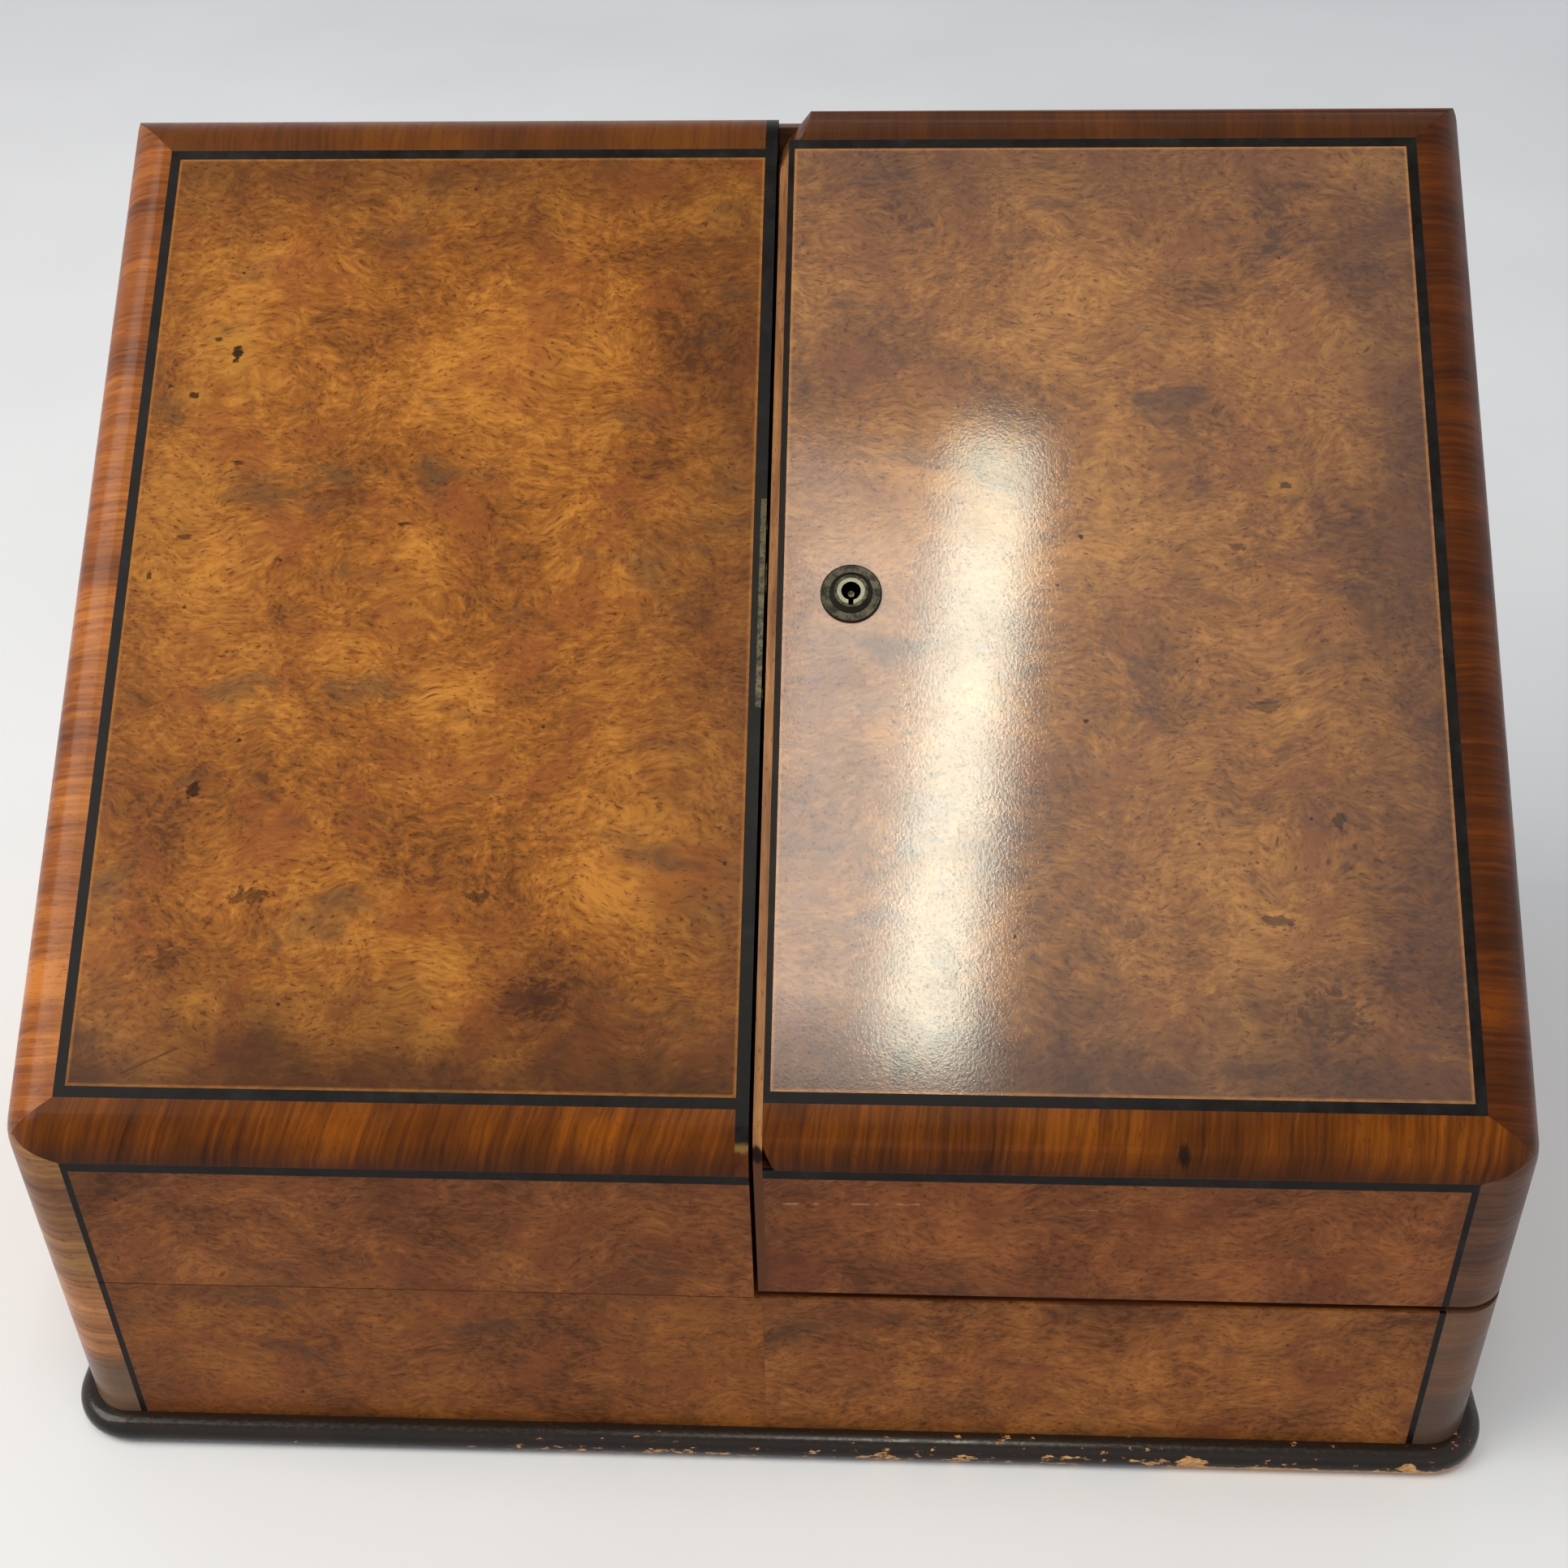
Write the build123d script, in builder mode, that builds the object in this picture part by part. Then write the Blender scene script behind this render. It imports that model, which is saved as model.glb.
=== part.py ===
from build123d import *
import os
from math import cos, radians, sin, tan

# Slope-front stationery box: a low base, a full-height back board and two shell doors.
# Millimetres. X to the right, Y to the back, Z up. The pieces are drawn with the front face at
# Y = 0 and written with the origin under the middle of the footprint.

# Overall case
case_width = 400.0
case_depth = 264.0
base_height = 66.5
nose_height = 122.4
slope_angle = 36.0

# Boards
wall = 10.0
back_thickness = 10.0
bottom_thickness = 8.0
veneer = 1.0

# Rounded walnut mouldings and the ebony lines beside them
edge_radius = 13.0
side_band = 15.5
post_band = 16.7
nose_radius = 15.0
nose_band_slope = 11.8
nose_band_front = 7.9
ridge_radius = 14.0
ridge_flat = 2.6
string_width = 3.0
corner_string_width = 1.8

# Base moulding, planted on the edge of the bottom board
foot_height = 9.0
foot_projection = 5.5
foot_rounding = 4.2

# Gaps of the doors
door_gap = 0.3
hinge_gap = 0.3
meeting_centre = -1.5
meeting_gap = 1.2
right_door_lift = 2.6

# Meeting edges: ebonised strip on the left door, light strip and thin line on the right
meeting_strip_width = 3.5
edge_strip_width = 2.4
edge_line_width = 1.8
strip_depth = 12.0

# Back board and the rail under the ridge
back_top_drop = 2.9
back_top_rounding = 8.0
back_corner_radius = 9.0
rail_clearance = 1.0
rail_width = 18.0
rail_edge = 6.0
rail_end_gap = 16.5

# Butt hinges at the back corners
hinge_length = 34.0
hinge_low = 98.0
hinge_high = 246.0
hinge_offset = 1.5
knuckle_radius = 3.0
knuckle_relief = 0.4
pin_radius = 1.25
pin_clearance = 0.05
leaf_thickness = 1.4
leaf_width = 8.6
leaf_clearance = 0.1
knuckle_gap = 0.25
screw_pitch = 20.0

# Countersunk screws
screw_head_radius = 2.0
screw_shank_radius = 1.0
screw_length = 8.0
screw_head_depth = 1.2
screw_slot_width = 0.5
screw_slot_depth = 0.5
screw_clearance = 0.1

# Lock on the right door
lock_x = 22.0
lock_s = 152.0
lock_length = 48.0
lock_width = 35.0
lock_top_depth = 3.6
lock_bottom_depth = 13.0
lock_wall = 1.0
lock_clearance = 0.15
selvedge_length = 60.0
selvedge_thickness = 1.5
selvedge_end = 3.4
nozzle_flange_radius = 8.5
nozzle_flange_thickness = 0.9
nozzle_boss_radius = 6.0
nozzle_boss_height = 2.4
nozzle_boss_chamfer = 1.3
nozzle_flange_rounding = 0.4
nozzle_tube_radius = 4.6
nozzle_bore_radius = 2.7
nozzle_slot_width = 1.4
nozzle_slot_reach = 4.1
nozzle_clearance = 0.1
keypin_radius = 0.9
bolt_offset = 9.0
bolt_width = 9.0
bolt_thickness = 3.6
bolt_length = 27.0
bolt_throw = 4.6
bolt_setback = 0.3
bolt_clearance = 0.2
bolt_end_room = 1.4
lever_thickness = 1.1
lever_length = 24.0
lever_width = 5.0
lever_arm_width = 3.5
lever_post_radius = 1.2
lever_clearance = 0.15
lever_inset = 3.8

# Strike plate on the left door
strike_length = 62.0
strike_thickness = 1.6
strike_depth = 11.0
strike_end = 6.0
strike_pocket_room = 0.6

# Letter rack
rack_front = 130.0
rack_pitch = 34.0
rack_board = 5.0
rack_front_height = 150.0
rack_rise = 30.0
rack_cheek = 6.0
rack_side_gap = 6.0
rack_seat = 0.2
cheek_rail_gap = 5.5
scoop_width = 130.0
scoop_depth = 14.0
lining_thickness = 1.2

# Pen tray, wells and inkwells in the front of the base
well_depth = 52.0
well_board = 5.0
well_top = 50.0
tray_clearance = 0.4
tray_height = 13.0
tray_wall = 3.0
tray_lift_room = 0.3
ledge_width = 4.0
inkwell_side = 41.0
inkwell_height = 37.0
inkwell_bore = 13.0
inkwell_floor = 7.0
inkwell_edge = 3.0
inkwell_chamfer = 2.0
inkwell_wall_gap = 1.5
inkwell_side_gap = 2.0
collar_radius = 16.0
collar_height = 3.5
cap_height = 8.0
cap_wall = 1.0
cap_rounding = 3.0
cap_gap = 0.3
cap_radius = 15.5
cap_hinge_radius = 1.6
cap_hinge_width = 9.0
cap_hinge_gap = 0.2
cap_ear = 2.4
cap_lug_length = 8.0
cap_pin_radius = 0.7
cap_pin_clearance = 0.05
cap_hinge_standoff = 1.2

# Worked out from the sizes above
half_width = case_width / 2
slope = radians(slope_angle)
back_front = case_depth - back_thickness
joint_y = back_front - hinge_gap
hinge_y = joint_y + hinge_gap / 2
hinge_x = half_width + hinge_offset
apex_height = nose_height + case_depth * tan(slope)
ridge_tangent = ridge_radius / tan(radians(90.0 - slope_angle) / 2)
ridge_start = case_depth / cos(slope) - ridge_tangent - ridge_flat
ridge_top = apex_height - ridge_radius * tan(slope) - ridge_radius / cos(slope) + ridge_radius
band_x = half_width - side_band
post_x = half_width - post_band
left_edge = meeting_centre - meeting_gap / 2
right_edge = meeting_centre + meeting_gap / 2
floor_top = bottom_thickness + lining_thickness
inner_x = half_width - wall
rack_half_width = inner_x - rack_side_gap
rack_cheek_inner = rack_half_width - rack_cheek
middle_y = (case_depth - foot_projection) / 2
bolt_top = lock_bottom_depth - lock_wall - bolt_end_room - bolt_thickness

# How near an edge lies to a place to be left out, or picked, there
edge_tolerance = 1.0


def slope_plane(lift, depth=0.0):
    """Plane of the slope, local x along X and local y up the slope from the nose corner."""
    face = Plane(origin=(0, 0, nose_height + lift), x_dir=(1, 0, 0), z_dir=(0, -sin(slope), cos(slope)))
    return face.offset(-depth)


def slope_z(y, lift=0.0, depth=0.0):
    """Height of the slope, or of a surface parallel to it and deeper, above a place on Y."""
    return nose_height + lift + y * tan(slope) - depth / cos(slope)


def side_outline(lift, bottom):
    """Corners of the box seen from its side, before anything is rounded."""
    return [
        (0, bottom),
        (0, nose_height + lift),
        (case_depth, apex_height + lift),
        (case_depth, bottom),
    ]


def door_shell_shape(lift):
    """Outside shape of both doors together, with its rounded nose, ridge and side edges."""
    bottom = base_height + door_gap + lift
    with BuildPart() as shape:
        with BuildSketch(Plane.YZ) as profile:
            with BuildLine():
                Polyline(*side_outline(lift, bottom), close=True)
            make_face()
            nose = profile.vertices().sort_by_distance((0, nose_height + lift, 0))[0]
            fillet(nose, nose_radius)
            with Locations((joint_y, 0)):
                Rectangle(case_depth, 2 * apex_height, align=(Align.MIN, Align.MIN), mode=Mode.SUBTRACT)
        extrude(amount=half_width, both=True)
        for end in (shape.faces().sort_by(Axis.X)[0], shape.faces().sort_by(Axis.X)[-1]):
            before_back = end.edges().filter_by(lambda e: e.center().Y < joint_y - edge_tolerance)
            rounded = before_back.filter_by(lambda e: e.center().Z > bottom + edge_tolerance)
            fillet(rounded, edge_radius)
        with BuildSketch(Plane.YZ) as ridge_profile:
            with BuildLine():
                Polyline(*side_outline(lift, bottom), close=True)
            make_face()
            ridge = ridge_profile.vertices().sort_by_distance((case_depth, apex_height + lift, 0))[0]
            fillet(ridge, ridge_radius)
        extrude(amount=half_width, both=True, mode=Mode.INTERSECT)
    return shape.part


def slope_block(lift, x_a, x_b, s_a, s_b, top, bottom):
    """Block under the slope between two places on X, two up the slope and two depths."""
    with BuildPart() as block:
        with BuildSketch(slope_plane(lift, top)):
            with Locations(((x_a + x_b) / 2, (s_a + s_b) / 2)):
                Rectangle(abs(x_b - x_a), s_b - s_a)
        extrude(amount=top - bottom)
    return block.part


def front_block(lift, x_a, x_b, z_a, z_b, y_a, y_b):
    """Upright block between two places on X, two heights and two depths behind the front."""
    with BuildPart() as block:
        with BuildSketch(Plane.XY.offset(z_a + lift)):
            with Locations(((x_a + x_b) / 2, (y_a + y_b) / 2)):
                Rectangle(abs(x_b - x_a), y_b - y_a)
        extrude(amount=z_b - z_a)
    return block.part


def side_slab(x_a, x_b, points):
    """Board lying in the YZ plane between two places on X."""
    with BuildPart() as slab:
        with BuildSketch(Plane.YZ.offset(min(x_a, x_b))):
            with BuildLine():
                Polyline(*points, close=True)
            make_face()
        extrude(amount=abs(x_b - x_a))
    return slab.part


def screw(plane, room=0.0):
    """Countersunk slotted screw, head flush with the plane; with room it is the hole for one."""
    with BuildPart() as body:
        with BuildSketch(Plane(plane.origin, x_dir=plane.x_dir, z_dir=-plane.y_dir)):
            with BuildLine():
                Polyline(
                    (0, 0),
                    (screw_head_radius + room, 0),
                    (screw_shank_radius + room, -screw_head_depth),
                    (screw_shank_radius + room, -screw_length + screw_shank_radius),
                    (0, -screw_length - room),
                    close=True,
                )
            make_face()
        revolve(axis=Axis(plane.origin, plane.z_dir))
        if room == 0.0:
            with BuildSketch(plane):
                Rectangle(2 * (screw_head_radius + screw_clearance), screw_slot_width)
            extrude(amount=-screw_slot_depth, mode=Mode.SUBTRACT)
    return body.part


def hinge_line(sign, height):
    """Plane at the middle of a hinge, with its normal up the pin."""
    return Plane(origin=(sign * hinge_x, hinge_y, height), x_dir=(1, 0, 0), z_dir=(0, 0, 1))


def knuckle_relief_shape(sign, height):
    """Round clearance that the hinge knuckle needs in the boards beside it."""
    with BuildPart() as relief:
        with BuildSketch(hinge_line(sign, height)):
            Circle(knuckle_radius + knuckle_relief)
        extrude(amount=hinge_length / 2 + knuckle_gap, both=True)
    return relief.part


def leaf_recess(sign, height, y_a, y_b):
    """Shallow recess in a board's edge for a hinge leaf."""
    with BuildPart() as recess:
        with BuildSketch(Plane.XY.offset(height - hinge_length / 2 - leaf_clearance)):
            with Locations((sign * (hinge_x - leaf_width / 2 - leaf_clearance / 2), (y_a + y_b) / 2)):
                Rectangle(leaf_width + leaf_clearance, abs(y_b - y_a))
        extrude(amount=hinge_length + 2 * leaf_clearance)
    return recess.part


def hinge_leaf(sign, height, y_a, y_b, middle):
    """One leaf with its knuckles: the middle third on the door, the outer thirds on the case."""
    third = hinge_length / 3
    with BuildPart() as leaf:
        with BuildSketch(Plane.XY.offset(height - hinge_length / 2)):
            with Locations((sign * (hinge_x - leaf_width / 2), (y_a + y_b) / 2)):
                Rectangle(leaf_width, abs(y_b - y_a))
        extrude(amount=hinge_length)
        with BuildSketch(hinge_line(sign, height)):
            Circle(knuckle_radius)
        extrude(amount=hinge_length / 2, both=True)
        if middle:
            for place in (-third, third):
                with BuildSketch(hinge_line(sign, height + place)):
                    Circle(knuckle_radius + knuckle_relief)
                extrude(amount=third / 2 + knuckle_gap / 2, both=True, mode=Mode.SUBTRACT)
        else:
            with BuildSketch(hinge_line(sign, height)):
                Circle(knuckle_radius + knuckle_relief)
            extrude(amount=third / 2 + knuckle_gap / 2, both=True, mode=Mode.SUBTRACT)
        with BuildSketch(hinge_line(sign, height)):
            Circle(pin_radius + pin_clearance)
        extrude(amount=hinge_length, both=True, mode=Mode.SUBTRACT)
        y_face = min(y_a, y_b) if y_a > hinge_y else max(y_a, y_b)
        facing = -1 if y_a > hinge_y else 1
        for place in (-screw_pitch / 2, screw_pitch / 2):
            seat = leaf_screw_plane(sign, height + place, y_face, facing)
            add(screw(seat, screw_clearance), mode=Mode.SUBTRACT)
    return leaf.part


def leaf_screw_plane(sign, height, y, facing):
    """Plane of a hinge screw's head, half way across the leaf outside its knuckle."""
    x = sign * (hinge_x - knuckle_radius - (leaf_width - knuckle_radius) / 2)
    return Plane(origin=(x, y, height), x_dir=(1, 0, 0), z_dir=(0, facing, 0))


def lock_body_shape(lift, room):
    """Outside of the lock's case, from the door's meeting edge inwards, enlarged by room."""
    low = lock_s - lock_length / 2 - room
    high = lock_s + lock_length / 2 + room
    far_x = right_edge + lock_width + room
    return slope_block(lift, right_edge, far_x, low, high, lock_top_depth - room, lock_bottom_depth + room)


def selvedge_shape(lift, room):
    """Face plate of the lock in the meeting edge, enlarged by room."""
    low = lock_s - selvedge_length / 2 - room
    high = lock_s + selvedge_length / 2 + room
    far_x = right_edge + selvedge_thickness
    return slope_block(lift, right_edge, far_x, low, high, lock_top_depth - room, strip_depth)


def nozzle_tube_shape(lift, radius):
    """Round bar on the keyhole's axis, from above the slope down to the lock's case."""
    with BuildPart() as tube:
        with BuildSketch(slope_plane(lift, lock_top_depth)):
            with Locations((lock_x, lock_s)):
                Circle(radius)
        extrude(amount=lock_top_depth + nozzle_boss_height)
    return tube.part


def bolt_shape(lift, reach, room):
    """Bolt pushed out by reach and enlarged by room across."""
    tip_x = right_edge + bolt_setback - reach
    low = lock_s + bolt_offset - bolt_width / 2 - room
    high = lock_s + bolt_offset + bolt_width / 2 + room
    bottom = bolt_top + bolt_thickness + room
    return slope_block(lift, tip_x, tip_x + bolt_length, low, high, bolt_top - room, bottom)


def strike_shape():
    """Strike plate let into the left door's meeting edge."""
    low = lock_s - strike_length / 2
    high = lock_s + strike_length / 2
    near_x = left_edge - strike_thickness
    return slope_block(0, near_x, left_edge, low, high, 0, strike_depth)


def strike_screw_plane(place):
    """Plane of a screw's head in the strike plate, one at each end."""
    along = lock_s + place * (strike_length / 2 - strike_end)
    seat = slope_plane(0, strike_depth / 2)
    return Plane(origin=seat.from_local_coords((left_edge, along, 0)), x_dir=seat.y_dir, z_dir=(1, 0, 0))


def selvedge_screw_plane(lift, place):
    """Plane of a screw's head in the lock's face plate, one beyond each end of the case."""
    along = lock_s + place * (selvedge_length / 2 - selvedge_end)
    seat = slope_plane(lift, (lock_top_depth + strip_depth) / 2)
    return Plane(origin=seat.from_local_coords((right_edge, along, 0)), x_dir=seat.y_dir, z_dir=(-1, 0, 0))


def keep(part, name):
    """Label a finished piece and write it, with the origin moved to the middle of the footprint."""
    placed = part.moved(Location((0, -middle_y, 0)))
    placed.label = name
    export_step(placed, f"parts/{name}.step")


os.makedirs("parts", exist_ok=True)

# Base: bottom board, rounded corner posts, walls, veneers and planted moulding

with BuildPart() as base_shape:
    with BuildSketch() as base_plan:
        with Locations((0, case_depth / 2)):
            Rectangle(case_width, case_depth)
        fillet(base_plan.vertices().group_by(Axis.Y)[0], edge_radius)
    extrude(amount=base_height)

with BuildPart() as bottom_board:
    add(base_shape.part)
    split(bisect_by=Plane.XY.offset(bottom_thickness), keep=Keep.BOTTOM)
keep(bottom_board.part, "bottom_board")

with BuildPart() as base_corner_posts:
    with BuildSketch(Plane.XY.offset(bottom_thickness)):
        for sign in (-1, 1):
            with Locations((sign * (post_x + half_width) / 2, post_band / 2)):
                Rectangle(post_band, post_band)
    extrude(amount=base_height - bottom_thickness)
    add(base_shape.part, mode=Mode.INTERSECT)
keep(base_corner_posts.part, "base_corner_posts")

base_front_wall = front_block(0, -post_x, post_x, bottom_thickness, base_height, veneer, wall)
keep(base_front_wall, "base_front_wall")

for side, sign in (("left", -1), ("right", 1)):
    base_wall = front_block(
        0, sign * inner_x, sign * (half_width - veneer), bottom_thickness, base_height, post_band, back_front
    )
    keep(base_wall, f"base_{side}_wall")
    leaf_end = sign * (post_x - corner_string_width)
    base_leaf = front_block(0, 0, leaf_end, bottom_thickness, base_height, 0, veneer)
    keep(base_leaf, f"base_veneer_{side}")

with BuildPart() as base_stringing:
    with BuildSketch(Plane.XY.offset(bottom_thickness)):
        for sign in (-1, 1):
            with Locations((sign * (post_x - corner_string_width / 2), veneer / 2)):
                Rectangle(corner_string_width, veneer)
    extrude(amount=base_height - bottom_thickness)
keep(base_stringing.part, "base_stringing")

with BuildPart() as base_side_veneers:
    with BuildSketch(Plane.XY.offset(bottom_thickness)):
        for sign in (-1, 1):
            with Locations((sign * (half_width - veneer / 2), (post_band + back_front) / 2)):
                Rectangle(veneer, back_front - post_band)
    extrude(amount=base_height - bottom_thickness)
keep(base_side_veneers.part, "base_side_veneers")

with BuildPart() as base_moulding:
    with BuildSketch() as foot_plan:
        with Locations((0, case_depth / 2)):
            Rectangle(case_width + 2 * foot_projection, case_depth + 2 * foot_projection)
        fillet(foot_plan.vertices().group_by(Axis.Y)[0], edge_radius + foot_projection)
    extrude(amount=foot_height)
    outer_edges = base_moulding.edges().filter_by(Axis.Z, reverse=True)
    fillet(outer_edges, foot_rounding)
    with BuildSketch() as foot_cut:
        with Locations((0, case_depth / 2)):
            Rectangle(case_width, case_depth)
        fillet(foot_cut.vertices().group_by(Axis.Y)[0], edge_radius)
    extrude(amount=foot_height, mode=Mode.SUBTRACT)
    with BuildSketch():
        with Locations((0, case_depth)):
            Rectangle(2 * case_width, 4 * foot_projection, align=(Align.CENTER, Align.MIN))
    extrude(amount=foot_height, mode=Mode.SUBTRACT)
keep(base_moulding.part, "base_moulding")

# Back board, full height, with the rail that the doors close over

back_top = ridge_top - back_top_drop
with BuildPart() as back_board:
    with BuildSketch(Plane.XY.offset(bottom_thickness)):
        with Locations((0, (back_front + case_depth) / 2)):
            Rectangle(case_width, back_thickness)
    extrude(amount=back_top - bottom_thickness)
    top_edges = back_board.faces().sort_by(Axis.Z)[-1].edges().filter_by(Axis.X)
    fillet(top_edges.sort_by(Axis.Y)[-1], back_top_rounding)
    top_corners = back_board.edges().filter_by(Axis.Y).group_by(Axis.Z)[-1]
    fillet(top_corners, back_corner_radius)
    for sign, lift in ((-1, 0.0), (1, right_door_lift)):
        for height in (hinge_low + lift, hinge_high + lift):
            add(knuckle_relief_shape(sign, height), mode=Mode.SUBTRACT)
            add(leaf_recess(sign, height, back_front, back_front + leaf_thickness), mode=Mode.SUBTRACT)
            for place in (-screw_pitch / 2, screw_pitch / 2):
                add(
                    screw(leaf_screw_plane(sign, height + place, back_front, -1), screw_clearance),
                    mode=Mode.SUBTRACT,
                )
keep(back_board.part, "back_board")

rail_y = back_front - rail_width
rail_depth = side_band + rail_clearance
rail_low = slope_z(rail_y, 0, rail_depth) - rail_edge
head_rail = side_slab(
    -rail_end_gap + half_width,
    rail_end_gap - half_width,
    [
        (back_front, slope_z(back_front, 0, rail_depth)),
        (rail_y, slope_z(rail_y, 0, rail_depth)),
        (rail_y, rail_low),
        (back_front, rail_low),
    ],
)
keep(head_rail, "head_rail")

# Hinge leaves, pins and screws on the case

with BuildPart() as case_hinge_leaves:
    for sign, lift in ((-1, 0.0), (1, right_door_lift)):
        for height in (hinge_low + lift, hinge_high + lift):
            add(hinge_leaf(sign, height, back_front, back_front + leaf_thickness, False))
keep(case_hinge_leaves.part, "case_hinge_leaves")

with BuildPart() as hinge_pins:
    for sign, lift in ((-1, 0.0), (1, right_door_lift)):
        for height in (hinge_low + lift, hinge_high + lift):
            with BuildSketch(hinge_line(sign, height)):
                Circle(pin_radius)
            extrude(amount=hinge_length / 2, both=True)
keep(hinge_pins.part, "hinge_pins")

with BuildPart() as case_hinge_screws:
    for sign, lift in ((-1, 0.0), (1, right_door_lift)):
        for height in (hinge_low + lift, hinge_high + lift):
            for place in (-screw_pitch / 2, screw_pitch / 2):
                add(screw(leaf_screw_plane(sign, height + place, back_front, -1)))
keep(case_hinge_screws.part, "case_hinge_screws")

# Doors: each a shell of a side, a slope and a short front, with rounded mouldings on its edges

half_angle = radians(90.0 - slope_angle) / 2
bolt_pocket = bolt_shape(right_door_lift, bolt_throw + strike_pocket_room, strike_pocket_room)
for side, sign, lift in (("left", -1, 0.0), ("right", 1, right_door_lift)):
    shell = door_shell_shape(lift)
    door_bottom = base_height + door_gap
    edge_x = left_edge if side == "left" else right_edge
    strip_width = meeting_strip_width if side == "left" else edge_strip_width
    line_width = 0.0 if side == "left" else edge_line_width
    panel_x = edge_x + sign * strip_width
    front_x = edge_x if side == "left" else panel_x
    nose_low = nose_height - nose_band_front
    outer_x = sign * half_width
    bisector = Plane(
        origin=(0, 0, nose_height + lift), x_dir=(1, 0, 0), z_dir=(0, sin(half_angle), cos(half_angle))
    )

    with BuildPart() as side_moulding:
        with BuildSketch(slope_plane(lift)):
            with BuildLine():
                Polyline(
                    (sign * band_x, nose_band_slope),
                    (sign * band_x, ridge_start),
                    (outer_x, ridge_start + side_band),
                    (outer_x, 0),
                    close=True,
                )
            make_face()
        extrude(amount=-side_band)
        add(shell, mode=Mode.INTERSECT)
        split(bisect_by=bisector, keep=Keep.TOP)
    keep(side_moulding.part, f"{side}_side_moulding")

    with BuildPart() as corner_post:
        with BuildSketch(Plane.XZ):
            with BuildLine():
                Polyline(
                    (sign * post_x, door_bottom + lift),
                    (sign * post_x, nose_low + lift),
                    (outer_x, nose_height + lift),
                    (outer_x, door_bottom + lift),
                    close=True,
                )
            make_face()
        extrude(amount=-post_band)
        add(shell, mode=Mode.INTERSECT)
        split(bisect_by=bisector, keep=Keep.BOTTOM)
    keep(corner_post.part, f"{side}_corner_post")

    nose_inner = nose_band_slope * cos(slope) + wall * sin(slope)
    nose_section = [
        (0, nose_low + lift),
        (0, nose_height + lift),
        (nose_band_slope * cos(slope), slope_z(nose_band_slope * cos(slope), lift)),
        (nose_inner, slope_z(nose_inner, lift, wall)),
        (wall, slope_z(wall, lift, wall)),
        (wall, nose_low + lift),
    ]
    with BuildPart() as nose_moulding:
        add(side_slab(panel_x, outer_x, nose_section))
        add(shell, mode=Mode.INTERSECT)
        add(side_moulding.part, mode=Mode.SUBTRACT)
        add(corner_post.part, mode=Mode.SUBTRACT)
    keep(nose_moulding.part, f"{side}_nose_moulding")

    ridge_y = ridge_start * cos(slope)
    ridge_inner = ridge_y + side_band * sin(slope)
    ridge_section = [
        (ridge_y, slope_z(ridge_y, lift)),
        (ridge_inner, slope_z(ridge_inner, lift, side_band)),
        (joint_y, slope_z(joint_y, lift, side_band)),
        (joint_y, slope_z(joint_y, lift)),
    ]
    with BuildPart() as ridge_moulding:
        add(side_slab(panel_x, outer_x, ridge_section))
        add(shell, mode=Mode.INTERSECT)
        add(side_moulding.part, mode=Mode.SUBTRACT)
    keep(ridge_moulding.part, f"{side}_ridge_moulding")

    side_section = [
        (post_band, door_bottom + lift),
        (joint_y, door_bottom + lift),
        (joint_y, slope_z(joint_y, lift, side_band)),
        (post_band, slope_z(post_band, lift, side_band)),
    ]
    with BuildPart() as side_panel:
        add(side_slab(sign * inner_x, sign * (half_width - veneer), side_section))
        for height in (hinge_low + lift, hinge_high + lift):
            add(knuckle_relief_shape(sign, height), mode=Mode.SUBTRACT)
            add(leaf_recess(sign, height, joint_y - leaf_thickness, joint_y), mode=Mode.SUBTRACT)
            for place in (-screw_pitch / 2, screw_pitch / 2):
                add(
                    screw(leaf_screw_plane(sign, height + place, joint_y, 1), screw_clearance),
                    mode=Mode.SUBTRACT,
                )
    keep(side_panel.part, f"{side}_side_panel")

    with BuildPart() as side_veneer:
        add(side_slab(sign * (half_width - veneer), outer_x, side_section))
        for height in (hinge_low + lift, hinge_high + lift):
            add(knuckle_relief_shape(sign, height), mode=Mode.SUBTRACT)
            add(leaf_recess(sign, height, joint_y - leaf_thickness, joint_y), mode=Mode.SUBTRACT)
    keep(side_veneer.part, f"{side}_side_veneer")

    with BuildPart() as slope_panel:
        add(slope_block(lift, panel_x, sign * band_x, nose_band_slope, ridge_start, veneer, wall))
        if side == "right":
            add(lock_body_shape(lift, lock_clearance), mode=Mode.SUBTRACT)
            add(nozzle_tube_shape(lift, nozzle_tube_radius + nozzle_clearance), mode=Mode.SUBTRACT)
        else:
            add(bolt_pocket, mode=Mode.SUBTRACT)
        for place in (-1, 1):
            seat = selvedge_screw_plane(lift, place) if side == "right" else strike_screw_plane(place)
            add(screw(seat, screw_clearance), mode=Mode.SUBTRACT)
    keep(slope_panel.part, f"{side}_slope_panel")

    burr_x = panel_x + sign * line_width
    burr_outer = sign * (band_x - string_width)
    burr_low = nose_band_slope + string_width
    burr_high = ridge_start - string_width
    slope_leaf = slope_block(lift, burr_x, burr_outer, burr_low, burr_high, 0, veneer)
    with BuildPart() as slope_veneer:
        add(slope_leaf)
        if side == "right":
            add(nozzle_tube_shape(lift, nozzle_tube_radius + nozzle_clearance), mode=Mode.SUBTRACT)
    keep(slope_veneer.part, f"{side}_slope_veneer")

    front_top = nose_low - string_width
    front_outer = sign * (post_x - corner_string_width)
    front_leaf = front_block(lift, front_x, front_outer, door_bottom, front_top, 0, veneer)
    keep(front_leaf, f"{side}_front_veneer")

    with BuildPart() as stringing:
        add(slope_block(lift, panel_x, sign * band_x, nose_band_slope, ridge_start, 0, veneer))
        add(slope_leaf, mode=Mode.SUBTRACT)
        add(front_block(lift, front_x, sign * post_x, door_bottom, nose_low, 0, veneer))
        add(front_leaf, mode=Mode.SUBTRACT)
    keep(stringing.part, f"{side}_stringing")

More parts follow.
